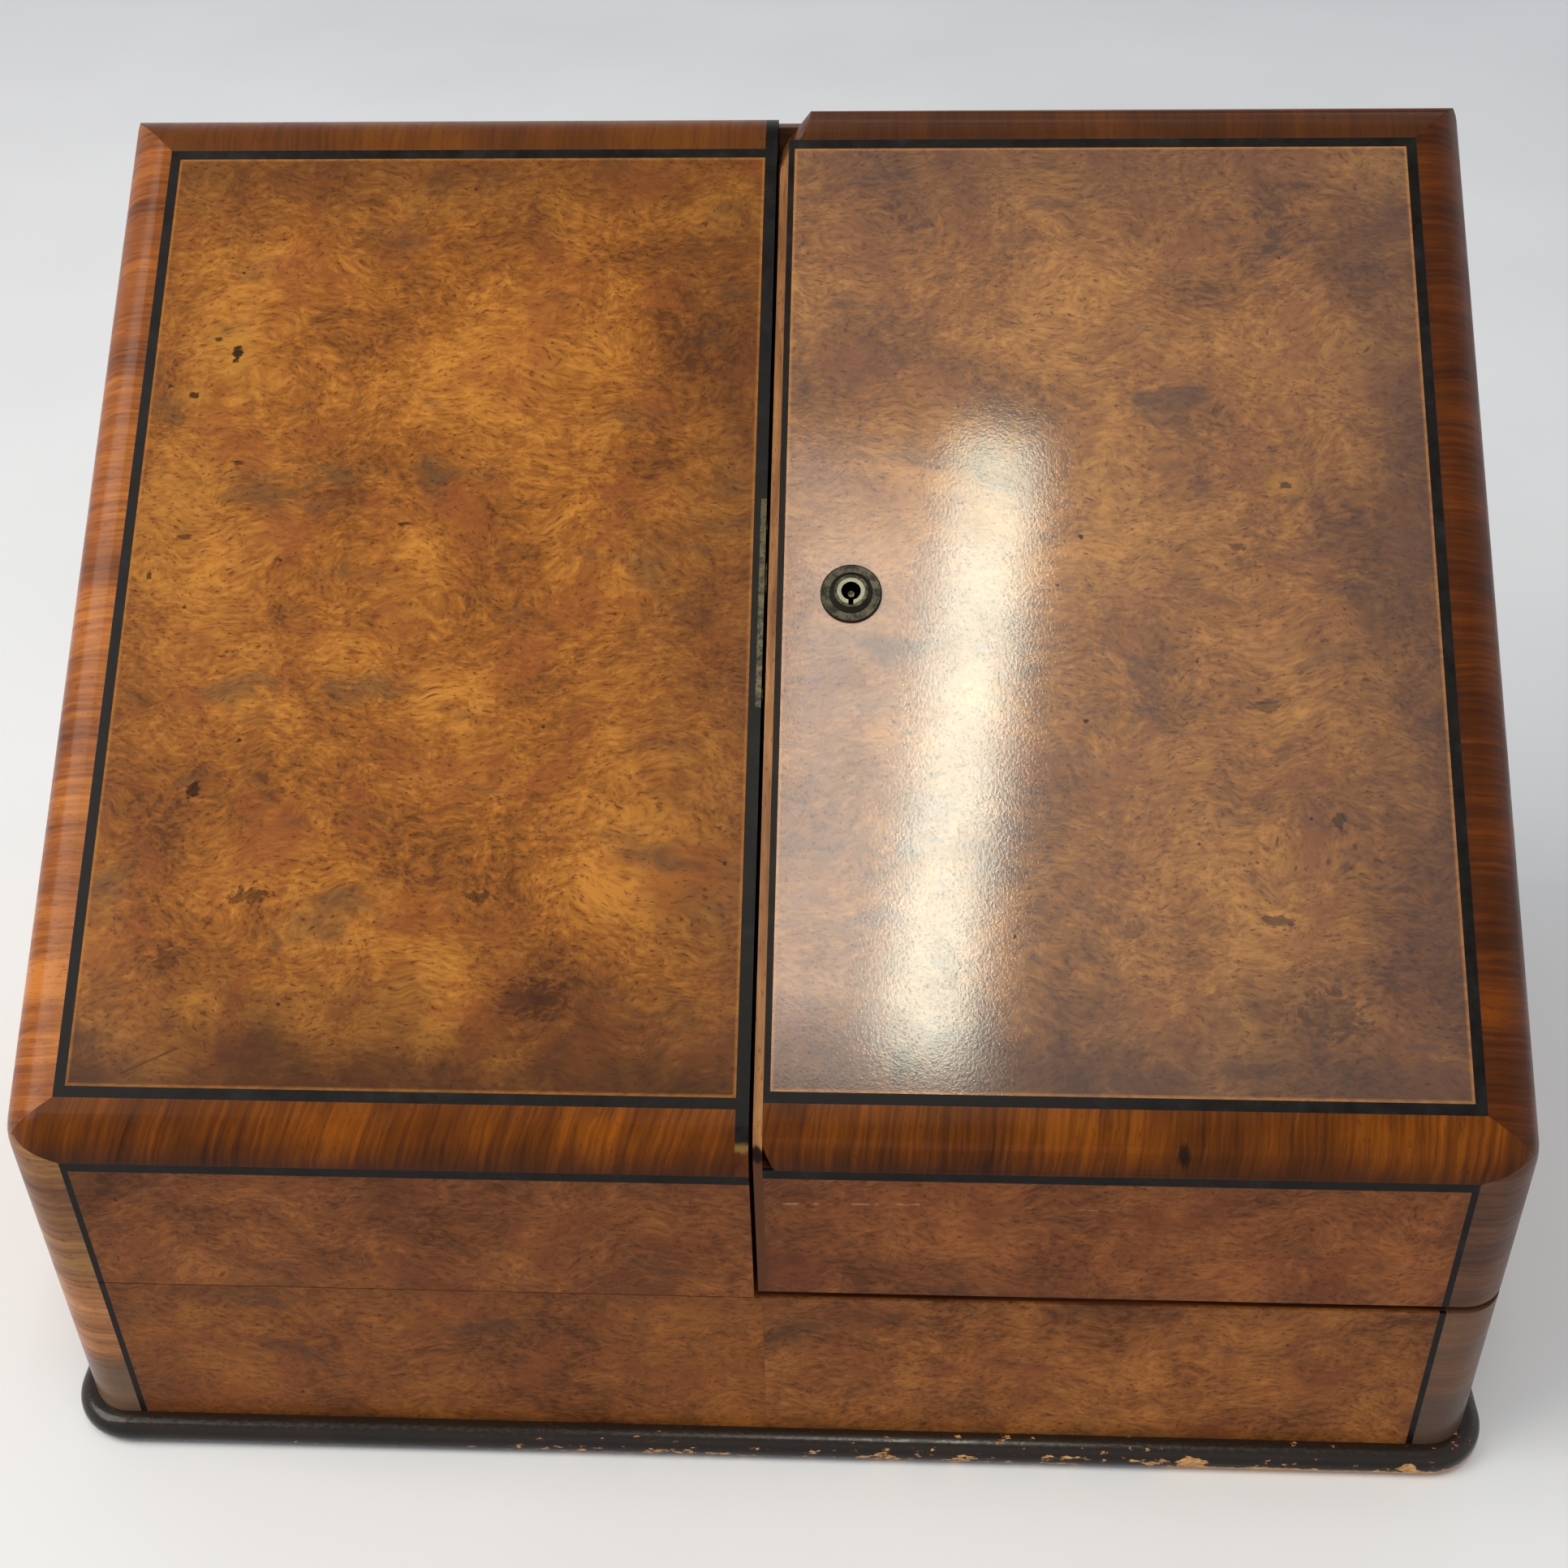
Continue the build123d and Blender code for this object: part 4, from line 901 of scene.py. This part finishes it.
@dataclass(frozen=True)
class Chip:
    """A moulding's end broken off by handling: all beyond a plane is gone."""

    node: str
    point: Point
    normal: Point
    body: str = "right_door"
    slot: str = "solid_walnut"

    def cut(self) -> None:
        """Copy the node, cut the copy and let it stand for the node."""
        source = bpy.data.objects[self.node]
        piece = bpy.data.objects.new(f"chipped_{self.node}", source.data.copy())
        bpy.context.scene.collection.objects.link(piece)
        bpy.ops.object.select_all(action="DESELECT")
        piece.select_set(True)
        bpy.context.view_layer.objects.active = piece
        bpy.ops.object.mode_set(mode="EDIT")
        bpy.ops.mesh.select_all(action="SELECT")
        bpy.ops.mesh.remove_doubles(threshold=MERGE_DISTANCE)
        bpy.ops.mesh.normals_make_consistent(inside=False)
        bpy.ops.mesh.select_all(action="SELECT")
        bpy.ops.mesh.bisect(plane_co=self.point, plane_no=self.normal, use_fill=True, clear_outer=True)
        bpy.ops.object.mode_set(mode="OBJECT")
        bpy.ops.object.shade_smooth_by_angle(angle=SMOOTH_ANGLE)
        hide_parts(self.node)
        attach(piece, self.body)
        LOG.info("%s stands for %s", piece.name, self.node)


@dataclass(frozen=True)
class Door:
    """A shell door: burr panels in a frame of rounded mouldings, over a mahogany shell."""

    side: str
    veneers: tuple[BurrWalnut, ...]
    ridge: Tones
    ridge_shade: str
    edge: Tones
    edge_polish: float
    post: Tones
    nose_lean: float
    nose_knots: tuple[Knot, ...] = ()
    lift: float = 0.0
    shift: float = 0.0
    nose: Tones = Tones("#3A1A03", "#643203", "#8C4A06")

    def build(self) -> None:
        """Dress the door."""
        side, lift, shift = self.side, self.lift, self.shift
        for veneer in self.veneers:
            veneer.dress(veneer.node)
        # Painted shade on the nose's lower half and on the ridge's top edge
        nose: Settings = {
            "under": "#2E1303", "fade": (0.112 + lift, 0.1265 + lift), "lean": self.nose_lean,
            "knots": self.nose_knots, "polish": 0.07,
        }
        ridge: Settings = {
            "under": self.ridge_shade, "fade": (0.2985 + lift, 0.2935 + lift), "under_share": 0.7,
            "polish": 0.05,
        }
        mouldings = (
            ("nose", "nose_moulding", Plane.SLOPE_SIDEWAYS, self.nose, shift, nose),
            ("ridge", "ridge_moulding", Plane.SLOPE_SIDEWAYS, self.ridge, 0.4 + shift, ridge),
            ("edge", "side_moulding", Plane.SLOPE, self.edge, 0.9 + shift, {"polish": self.edge_polish}),
            ("post", "corner_post", Plane.FRONT, self.post, 1.6 + shift, {}),
        )
        for part, node, plane, tones, seed, more in mouldings:
            names = (f"cross_grain_{side}_{part}", f"{side}_{node}")
            CrossGrainWalnut(*names, plane, tones, seed=seed, **more).dress(names[1])
        shell = PlainWood(f"mahogany_{side}_shell", Axis.X, seed=3.0 + shift)
        shell.dress(f"{side}_front_panel", f"{side}_slope_panel")
        PlainWood(f"mahogany_{side}_side_panel", Axis.Y, seed=5.0 + shift).dress(f"{side}_side_panel")


# Knots and holes where the slopes have them
LEFT_KNOTS = (
    Knot(-63.9, 73.9, 1.3, 2.6, 0.95, 0.5),
    Knot(-69.9, 78.9, 1.4, 0.7, 0.8, 0.3),
    Knot(-75.6, 60.8, 1.5, 1.0, 0.85, 0.35),
    Knot(-82.2, 63.6, 0.9, 0.7, 0.7),
    Knot(-73.8, 16.3, 2.6, 0.9, 0.65),
    Knot(-82.2, 4.4, 0.9, 0.9, 0.75),
    Knot(-71.0, -4.9, 0.7, 0.7, 0.75),
    Knot(-60.0, 39.5, 1.2, 0.8, 0.6),
    Knot(-11.1, 20.9, 1.4, 0.7, 0.75),
    Knot(-51.4, -43.8, 0.7, 0.6, 0.8),
    Knot(-62.7, -58.1, 1.7, 2.4, 0.85),
    Knot(-44.7, -87.4, 5.5, 2.2, 0.6),
    Knot(17.7, -87.0, 3.4, 1.6, 0.55),
    Knot(33.5, -114.1, 9.0, 5.0, 0.4),
    Knot(-64.8, -104.8, 4.0, 2.6, 0.35),
)
RIGHT_KNOTS = (
    Knot(49.2, 31.2, 1.8, 1.1, 0.75, 0.45),
    Knot(35.5, 12.4, 2.6, 1.2, 0.5),
    Knot(41.3, -33.5, 3.6, 1.5, 0.5),
    Knot(59.0, -65.0, 1.6, 2.0, 0.65),
    Knot(41.9, -92.6, 4.2, 1.5, 0.65),
    Knot(-7.0, 15.3, 0.6, 0.6, 0.9),
    Knot(-6.8, -38.2, 0.7, 0.6, 0.9),
    Knot(23.4, -21.0, 0.5, 0.5, 0.8),
    Knot(-26.4, -97.9, 0.6, 0.6, 0.9),
    Knot(-54.3, -34.0, 0.6, 0.6, 0.85),
    Knot(-52.9, -75.7, 0.6, 1.1, 0.7),
    Knot(-46.6, -53.9, 2.2, 1.2, 0.45),
    Knot(-43.3, -105.7, 4.4, 4.6, 0.4),
    Knot(-54.7, -131.4, 3.8, 4.2, 0.5),
    Knot(54.2, -116.9, 9.0, 6.0, 0.35),
)

LEFT_DOOR = Door(
    side="left",
    veneers=(
        BurrWalnut(
            "burr_walnut_left_slope", "left_slope_veneer", Plane.SLOPE,
            rims=Rims(0.2, 0.55, 0.9, 0.6, "#3E2416", 50.0), seed=0.31, knots=LEFT_KNOTS,
            scratches=(Scratch((-74.0, -136.0), (-58.5, -128.5), 0.5),), polish=0.05, border=0.45,
        ),
        BurrWalnut(
            "burr_walnut_left_front", "left_front_veneer", Plane.FRONT,
            Tones("#502B12", "#7A4722", "#9C602C"),
            rust="#743E20", stain="#46301F", rims=Rims(0.3, 0.45, 0.35, 0.3, "#40261A", 16.0), seed=1.3,
            polish=0.04,
        ),
        BurrWalnut("burr_walnut_left_side", "left_side_veneer", Plane.FLANK, seed=3.1),
    ),
    ridge=Tones("#562C08", "#88480A", "#A8620E"),
    ridge_shade="#4A2A14",
    edge=Tones("#54290A", "#8A4A14", "#B86E26"),
    edge_polish=0.2,
    post=Tones("#4E301C", "#7C5230", "#A0703E"),
    nose_lean=-0.3,
)

# The right door is redder, and greyer with painted haze on its slope; its side mouldings take painted shade
RIGHT_DOOR = Door(
    side="right",
    veneers=(
        BurrWalnut(
            "burr_walnut_right_slope", "right_slope_veneer", Plane.SLOPE,
            Tones("#583822", "#8A5A2C", "#B07A3C"),
            rust="#7E4C2C", stain="#40302C", rims=Rims(0.1, 0.66, 0.75, 0.45, "#3C2620", 48.0), seed=1.17,
            knots=RIGHT_KNOTS, polish=1.0, sheen=0.2, haze=0.3, border=0.6,
        ),
        BurrWalnut(
            "burr_walnut_right_front", "right_front_veneer", Plane.FRONT,
            Tones("#502B16", "#7A4724", "#9C5E30"),
            rust="#743C22", stain="#443022", rims=Rims(0.5, 0.35, 0.35, 0.3, "#40261C", 16.0), seed=3.3,
            scratches=(
                Scratch((-88.0, 12.8), (-46.0, 13.8), 0.65, "#AE7C58", 0.8, 4.0),
                Scratch((-28.0, 13.4), (4.0, 12.6), 0.5, "#A0704C", 0.6, 5.0),
            ),
            polish=0.04,
        ),
        BurrWalnut("burr_walnut_right_side", "right_side_veneer", Plane.FLANK, seed=5.1),
    ),
    ridge=Tones("#422006", "#66360A", "#86480C"),
    ridge_shade="#3A2012",
    # Painted shade: these side moulding tones are darker than the left door's
    edge=Tones("#321503", "#4E2404", "#703606"),
    edge_polish=0.1,
    post=Tones("#3C241A", "#5A3A28", "#7C5236"),
    nose_lean=-0.12,
    nose_knots=(Knot(-3.0, 9.5, 3.2, 1.5, 0.9),),
    lift=RIGHT_DOOR_LIFT,
    shift=0.4,
)


@dataclass
class Doors:
    """The two doors, the trim where they meet, and the broken corners beside the gap."""

    lipping: Tones = Tones("#643E20", "#8A5C35", "#AA7848")
    strip_worn_below: float = 0.121
    ridge_break: Point = (0.0025, 0.12, 0.2965)
    ridge_break_way: Point = (-0.78, 0.0, 0.62)
    nose_break: Point = (0.0015, -0.12, 0.1245)
    nose_break_way: Point = (-0.925, 0.0, -0.375)

    def build(self) -> None:
        """Dress both doors and break the corners."""
        Ebony().dress("left_stringing", "right_stringing")
        Ebony("worn_ebony_meeting_strip", self.strip_worn_below).dress("left_meeting_strip")
        # Painted shade on the lipping's lower end, where it runs onto the nose
        lipping = CrossGrainWalnut(
            "walnut_lipping", "right_edge_strip", Plane.SLOPE_SIDEWAYS, self.lipping, under="#56301A",
            fade=(0.1225, 0.126), under_share=0.95, polish=0.05, knots=(Knot(-139.6, 0.0, 1.9, 2.2, 0.97),),
        )
        lipping.dress(lipping.node)
        for door in (LEFT_DOOR, RIGHT_DOOR):
            door.build()
        for node in ("right_ridge_moulding", "right_edge_strip"):
            Chip(node, self.ridge_break, self.ridge_break_way).cut()
        Chip("right_nose_moulding", self.nose_break, self.nose_break_way).cut()


@dataclass
class Carcase:
    """Base, back board and the boards behind the veneers."""

    left_leaf: Tones = Tones("#4C2A12", "#7C481F", "#9C6028")
    right_leaf: Tones = Tones("#583216", "#8E5628", "#B07034")
    posts: Tones = Tones("#64401F", "#A0683C", "#C48A56")
    back: Tones = Tones("#382014", "#543220", "#6E4630")

    def build(self) -> None:
        """Dress the carcase."""
        leaves = (("left", 6.1, self.left_leaf, (0.4, 0.0)), ("right", 6.3, self.right_leaf, (0.0, 0.4)))
        for side, seed, tones, rims in leaves:
            leaf = BurrWalnut(
                f"burr_walnut_base_{side}", f"base_veneer_{side}", Plane.FRONT, tones,
                rust="#7C4222", stain="#4A3322", rims=Rims(*rims, 0.25, 0.35, "#432A1C", 18.0), seed=seed,
                polish=0.04,
            )
            leaf.dress(leaf.node)
            PlainWood(f"mahogany_{side}_wall", Axis.Y, seed=seed).dress(f"base_{side}_wall")
        flank = BurrWalnut("burr_walnut_base_sides", "base_side_veneers", Plane.FLANK, seed=7.7)
        # Painted grey sheen on the posts: greyer at their feet and on the right side
        post = CrossGrainWalnut(
            "cross_grain_base_posts", "base_corner_posts", Plane.FRONT, self.posts,
            under="#5C4C3E", fade=(0.028, 0.036), painted_grey_sheen="#4E3C33",
        )
        for finish in (flank, post):
            finish.dress(finish.node)
        Ebony("base_ebony_line").dress("base_stringing")
        WornEbonisedWood().dress("base_moulding")
        PlainWood("walnut_back_board", Axis.X, self.back).dress("back_board")
        PlainWood("waxed_mahogany", Axis.X, seed=3.0).dress("bottom_board", "base_front_wall", "head_rail")


@dataclass
class Fittings:
    """Brass: hinges, screws, lock, key nozzle and strike plate."""

    nozzle: Point = (0.022, -0.00822, 0.21701)
    nozzle_bore_reach: float = 3.8

    def build(self) -> None:
        """Dress the brass."""
        hinges = ("case_hinge_leaves", "hinge_pins", "left_hinge_leaves", "right_hinge_leaves")
        screws = ("case_hinge_screws", "left_screws", "right_screws")
        AgedBrass().dress(*hinges, *screws, "lock_bolt", "lock_lever")
        AgedBrass("dull_lock_brass", "#5A5440", "#3C3828", "#221F16", 0.7).dress("lock_case")
        worn = (self.nozzle, self.nozzle_bore_reach)
        AgedBrass("worn_nozzle_brass", "#35322A", "#26231C", "#16140F", 0.8, *worn).dress("lock_nozzle")
        AgedBrass("tarnished_strike_brass", "#4A4430", "#36322A", "#211F18", 0.9).dress("left_strike_plate")


@dataclass
class Interior:
    """Letter rack, wells, pen tray and inkwells with the ink left in them."""

    walnut: Tones = Tones("#442410", "#6A3E20", "#8A5830")
    walnut_gloss: float = 0.3
    inkwell_across: float = 0.1675
    inkwell_along: float = -0.08925
    ink_bottom: float = 0.0163
    ink_depth: float = 0.005
    ink_radius: float = 0.0128
    ink_facets: int = 64

    def build(self) -> None:
        """Dress the interior and pour the ink."""
        rack = PlainWood("polished_walnut_rack", Axis.X, self.walnut, self.walnut_gloss)
        rack.dress("rack_board_front", "rack_board_middle", "rack_board_rear", "well_rail", "pen_tray")
        cheeks = PlainWood("polished_walnut_cheeks", Axis.Y, self.walnut, self.walnut_gloss, 2.0)
        cheeks.dress("rack_cheeks", "well_dividers")
        Baize().dress("well_lining")
        InkGlass().dress("inkwells")
        caps = AgedBrass("inkwell_brass", "#B8A066", "#8A7848", "#3A3422", 0.3)
        caps.dress("inkwell_collars", "inkwell_cap_left", "inkwell_cap_right")
        ink = DriedInk().build()
        self.pour("left", -self.inkwell_across, ink)
        self.pour("right", self.inkwell_across, ink)

    def pour(self, side: str, across: float, ink: bpy.types.Material) -> None:
        """Leave a pool of ink in a well.

        Args:
            side: Which well.
            across: Place of its middle along the box's width.
            ink: The ink's material.
        """
        middle = (across, self.inkwell_along, self.ink_bottom + self.ink_depth / 2)
        bpy.ops.object.select_all(action="DESELECT")
        bpy.ops.mesh.primitive_cylinder_add(
            vertices=self.ink_facets, radius=self.ink_radius, depth=self.ink_depth, location=middle
        )
        pool = bpy.context.object
        pool.name = f"ink_pool_{side}"
        bpy.ops.object.transform_apply(location=True, rotation=True, scale=True)
        bpy.ops.object.shade_smooth_by_angle(angle=SMOOTH_ANGLE)
        pool.data.materials.append(ink)
        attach(pool, "case")


@dataclass(frozen=True)
class Lamp:
    """A rectangular lamp, whose glow is 1 where a white surface in full light is as bright."""

    name: str
    size: Pair
    glow: float
    place: Point
    target: Point = (0.05, -0.03, 0.2)
    along: Point = (0.055, 0.565, 0.0)
    code: str = "#FFF8EC"

    def hang(self) -> None:
        """Put the lamp in its place, with its second side along its way."""
        light = bpy.data.lights.new(self.name, "AREA")
        light.shape = "RECTANGLE"
        light.size, light.size_y = self.size
        light.energy = self.glow * self.size[0] * self.size[1] * LAMP_WATTS
        light.color = linear(self.code)[:3]
        lamp = bpy.data.objects.new(self.name, light)
        out = (Vector(self.place) - Vector(self.target)).normalized()
        side = Vector(self.along).cross(out).normalized()
        turn = Matrix((side, out.cross(side), out)).transposed().to_4x4()
        lamp.matrix_world = Matrix.Translation(self.place) @ turn
        bpy.context.scene.collection.objects.link(lamp)


@dataclass
class Studio:
    """Pale floor, soft light from the left, a long narrow window light and the camera."""

    camera_place: Point = (0.03149, -0.49130, 0.51612)
    pitch_degrees: float = 37.11
    yaw_degrees: float = -3.461
    roll_degrees: float = -1.466
    focal_pixels: float = 2546.0
    frame_pixels: float = 1932.0
    sensor_mm: float = 36.0
    near_limit: float = 0.01
    floor_size: float = 8.0
    room_glow: float = 0.55
    wall_glow: float = 1.0
    ceiling_from: float = 0.8
    wall_up_to: float = 0.4
    lamps: tuple[Lamp, ...] = (
        Lamp("left_window", (1.4, 1.4), 4.2, (-1.5, -0.45, 1.65), (0.0, 0.0, 0.15), (0.0, 1.0, 0.0)),
        Lamp("curtain", (0.2, 0.44), 2.4, (0.034, -0.47, 1.41)),
        Lamp("sheer_curtain", (0.26, 0.58), 2.4, (0.024, -0.47, 1.42)),
        Lamp("window_strip", (0.075, 0.56), 10.0, (0.098, -0.44, 1.4), code="#F6FFE6"),
    )

    def camera(self) -> None:
        """Set the camera at the photograph's angle."""
        pitch, yaw, roll = (radians(a) for a in (self.pitch_degrees, self.yaw_degrees, self.roll_degrees))
        ahead = Vector((sin(yaw) * cos(pitch), cos(yaw) * cos(pitch), -sin(pitch)))
        level = Vector((cos(yaw), -sin(yaw), 0.0))
        upward = level.cross(ahead)
        right = cos(roll) * level + sin(roll) * upward
        up = -sin(roll) * level + cos(roll) * upward
        lens = bpy.data.cameras.new("camera")
        lens.sensor_width = self.sensor_mm
        lens.lens = self.focal_pixels / self.frame_pixels * self.sensor_mm
        lens.clip_start = self.near_limit
        viewer = bpy.data.objects.new("camera", lens)
        turn = Matrix((right, up, -ahead)).transposed().to_4x4()
        viewer.matrix_world = Matrix.Translation(self.camera_place) @ turn
        bpy.context.scene.collection.objects.link(viewer)
        bpy.context.scene.camera = viewer

    def floor(self) -> None:
        """Lay the pale floor."""
        bpy.ops.object.select_all(action="DESELECT")
        bpy.ops.mesh.primitive_plane_add(size=self.floor_size)
        ground = bpy.context.object
        ground.name = "floor"
        ground.data.materials.append(PaleFloor().build())

    def sky(self) -> None:
        """Give the room its even light, and the pale wall that the eye, the metal and the glass see."""
        world = bpy.data.worlds.new("room")
        bpy.context.scene.world = world
        world.use_nodes = True
        world.node_tree.nodes.clear()
        add = partial(add_node, world.node_tree)
        seen: Any = 0.0
        for ray in ("Is Camera Ray", "Is Glossy Ray", "Is Transmission Ray"):
            seen = add(Kind.MOST, seen, add(Kind.RAY, out=ray))
        # The wall stands low round the room, under the dimmer ceiling
        height = add(Kind.SPLIT, add(Kind.DIRECTION), out="Z")
        seen = add(Kind.TIMES, seen, add(Kind.SPREAD, height, self.ceiling_from, self.wall_up_to))
        room = add(Kind.SKY, "#F2F4FA", self.room_glow)
        wall = add(Kind.SKY, "#ECEBEB", self.wall_glow)
        add(Kind.SKY_OUTPUT, add(Kind.EITHER, seen, room, wall))

    def build(self) -> None:
        """Set up floor, light and camera."""
        self.camera()
        self.floor()
        self.sky()
        for lamp in self.lamps:
            lamp.hang()
        bpy.context.scene.view_settings.view_transform = "Standard"


def main() -> None:
    """Load the frame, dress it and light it."""
    logging.basicConfig(level=logging.INFO, format="%(message)s")
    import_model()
    for assembly in (Carcase(), Doors(), Fittings(), Interior(), Studio()):
        assembly.build()
        LOG.info("built %s", type(assembly).__name__)


if __name__ == "__main__":
    main()
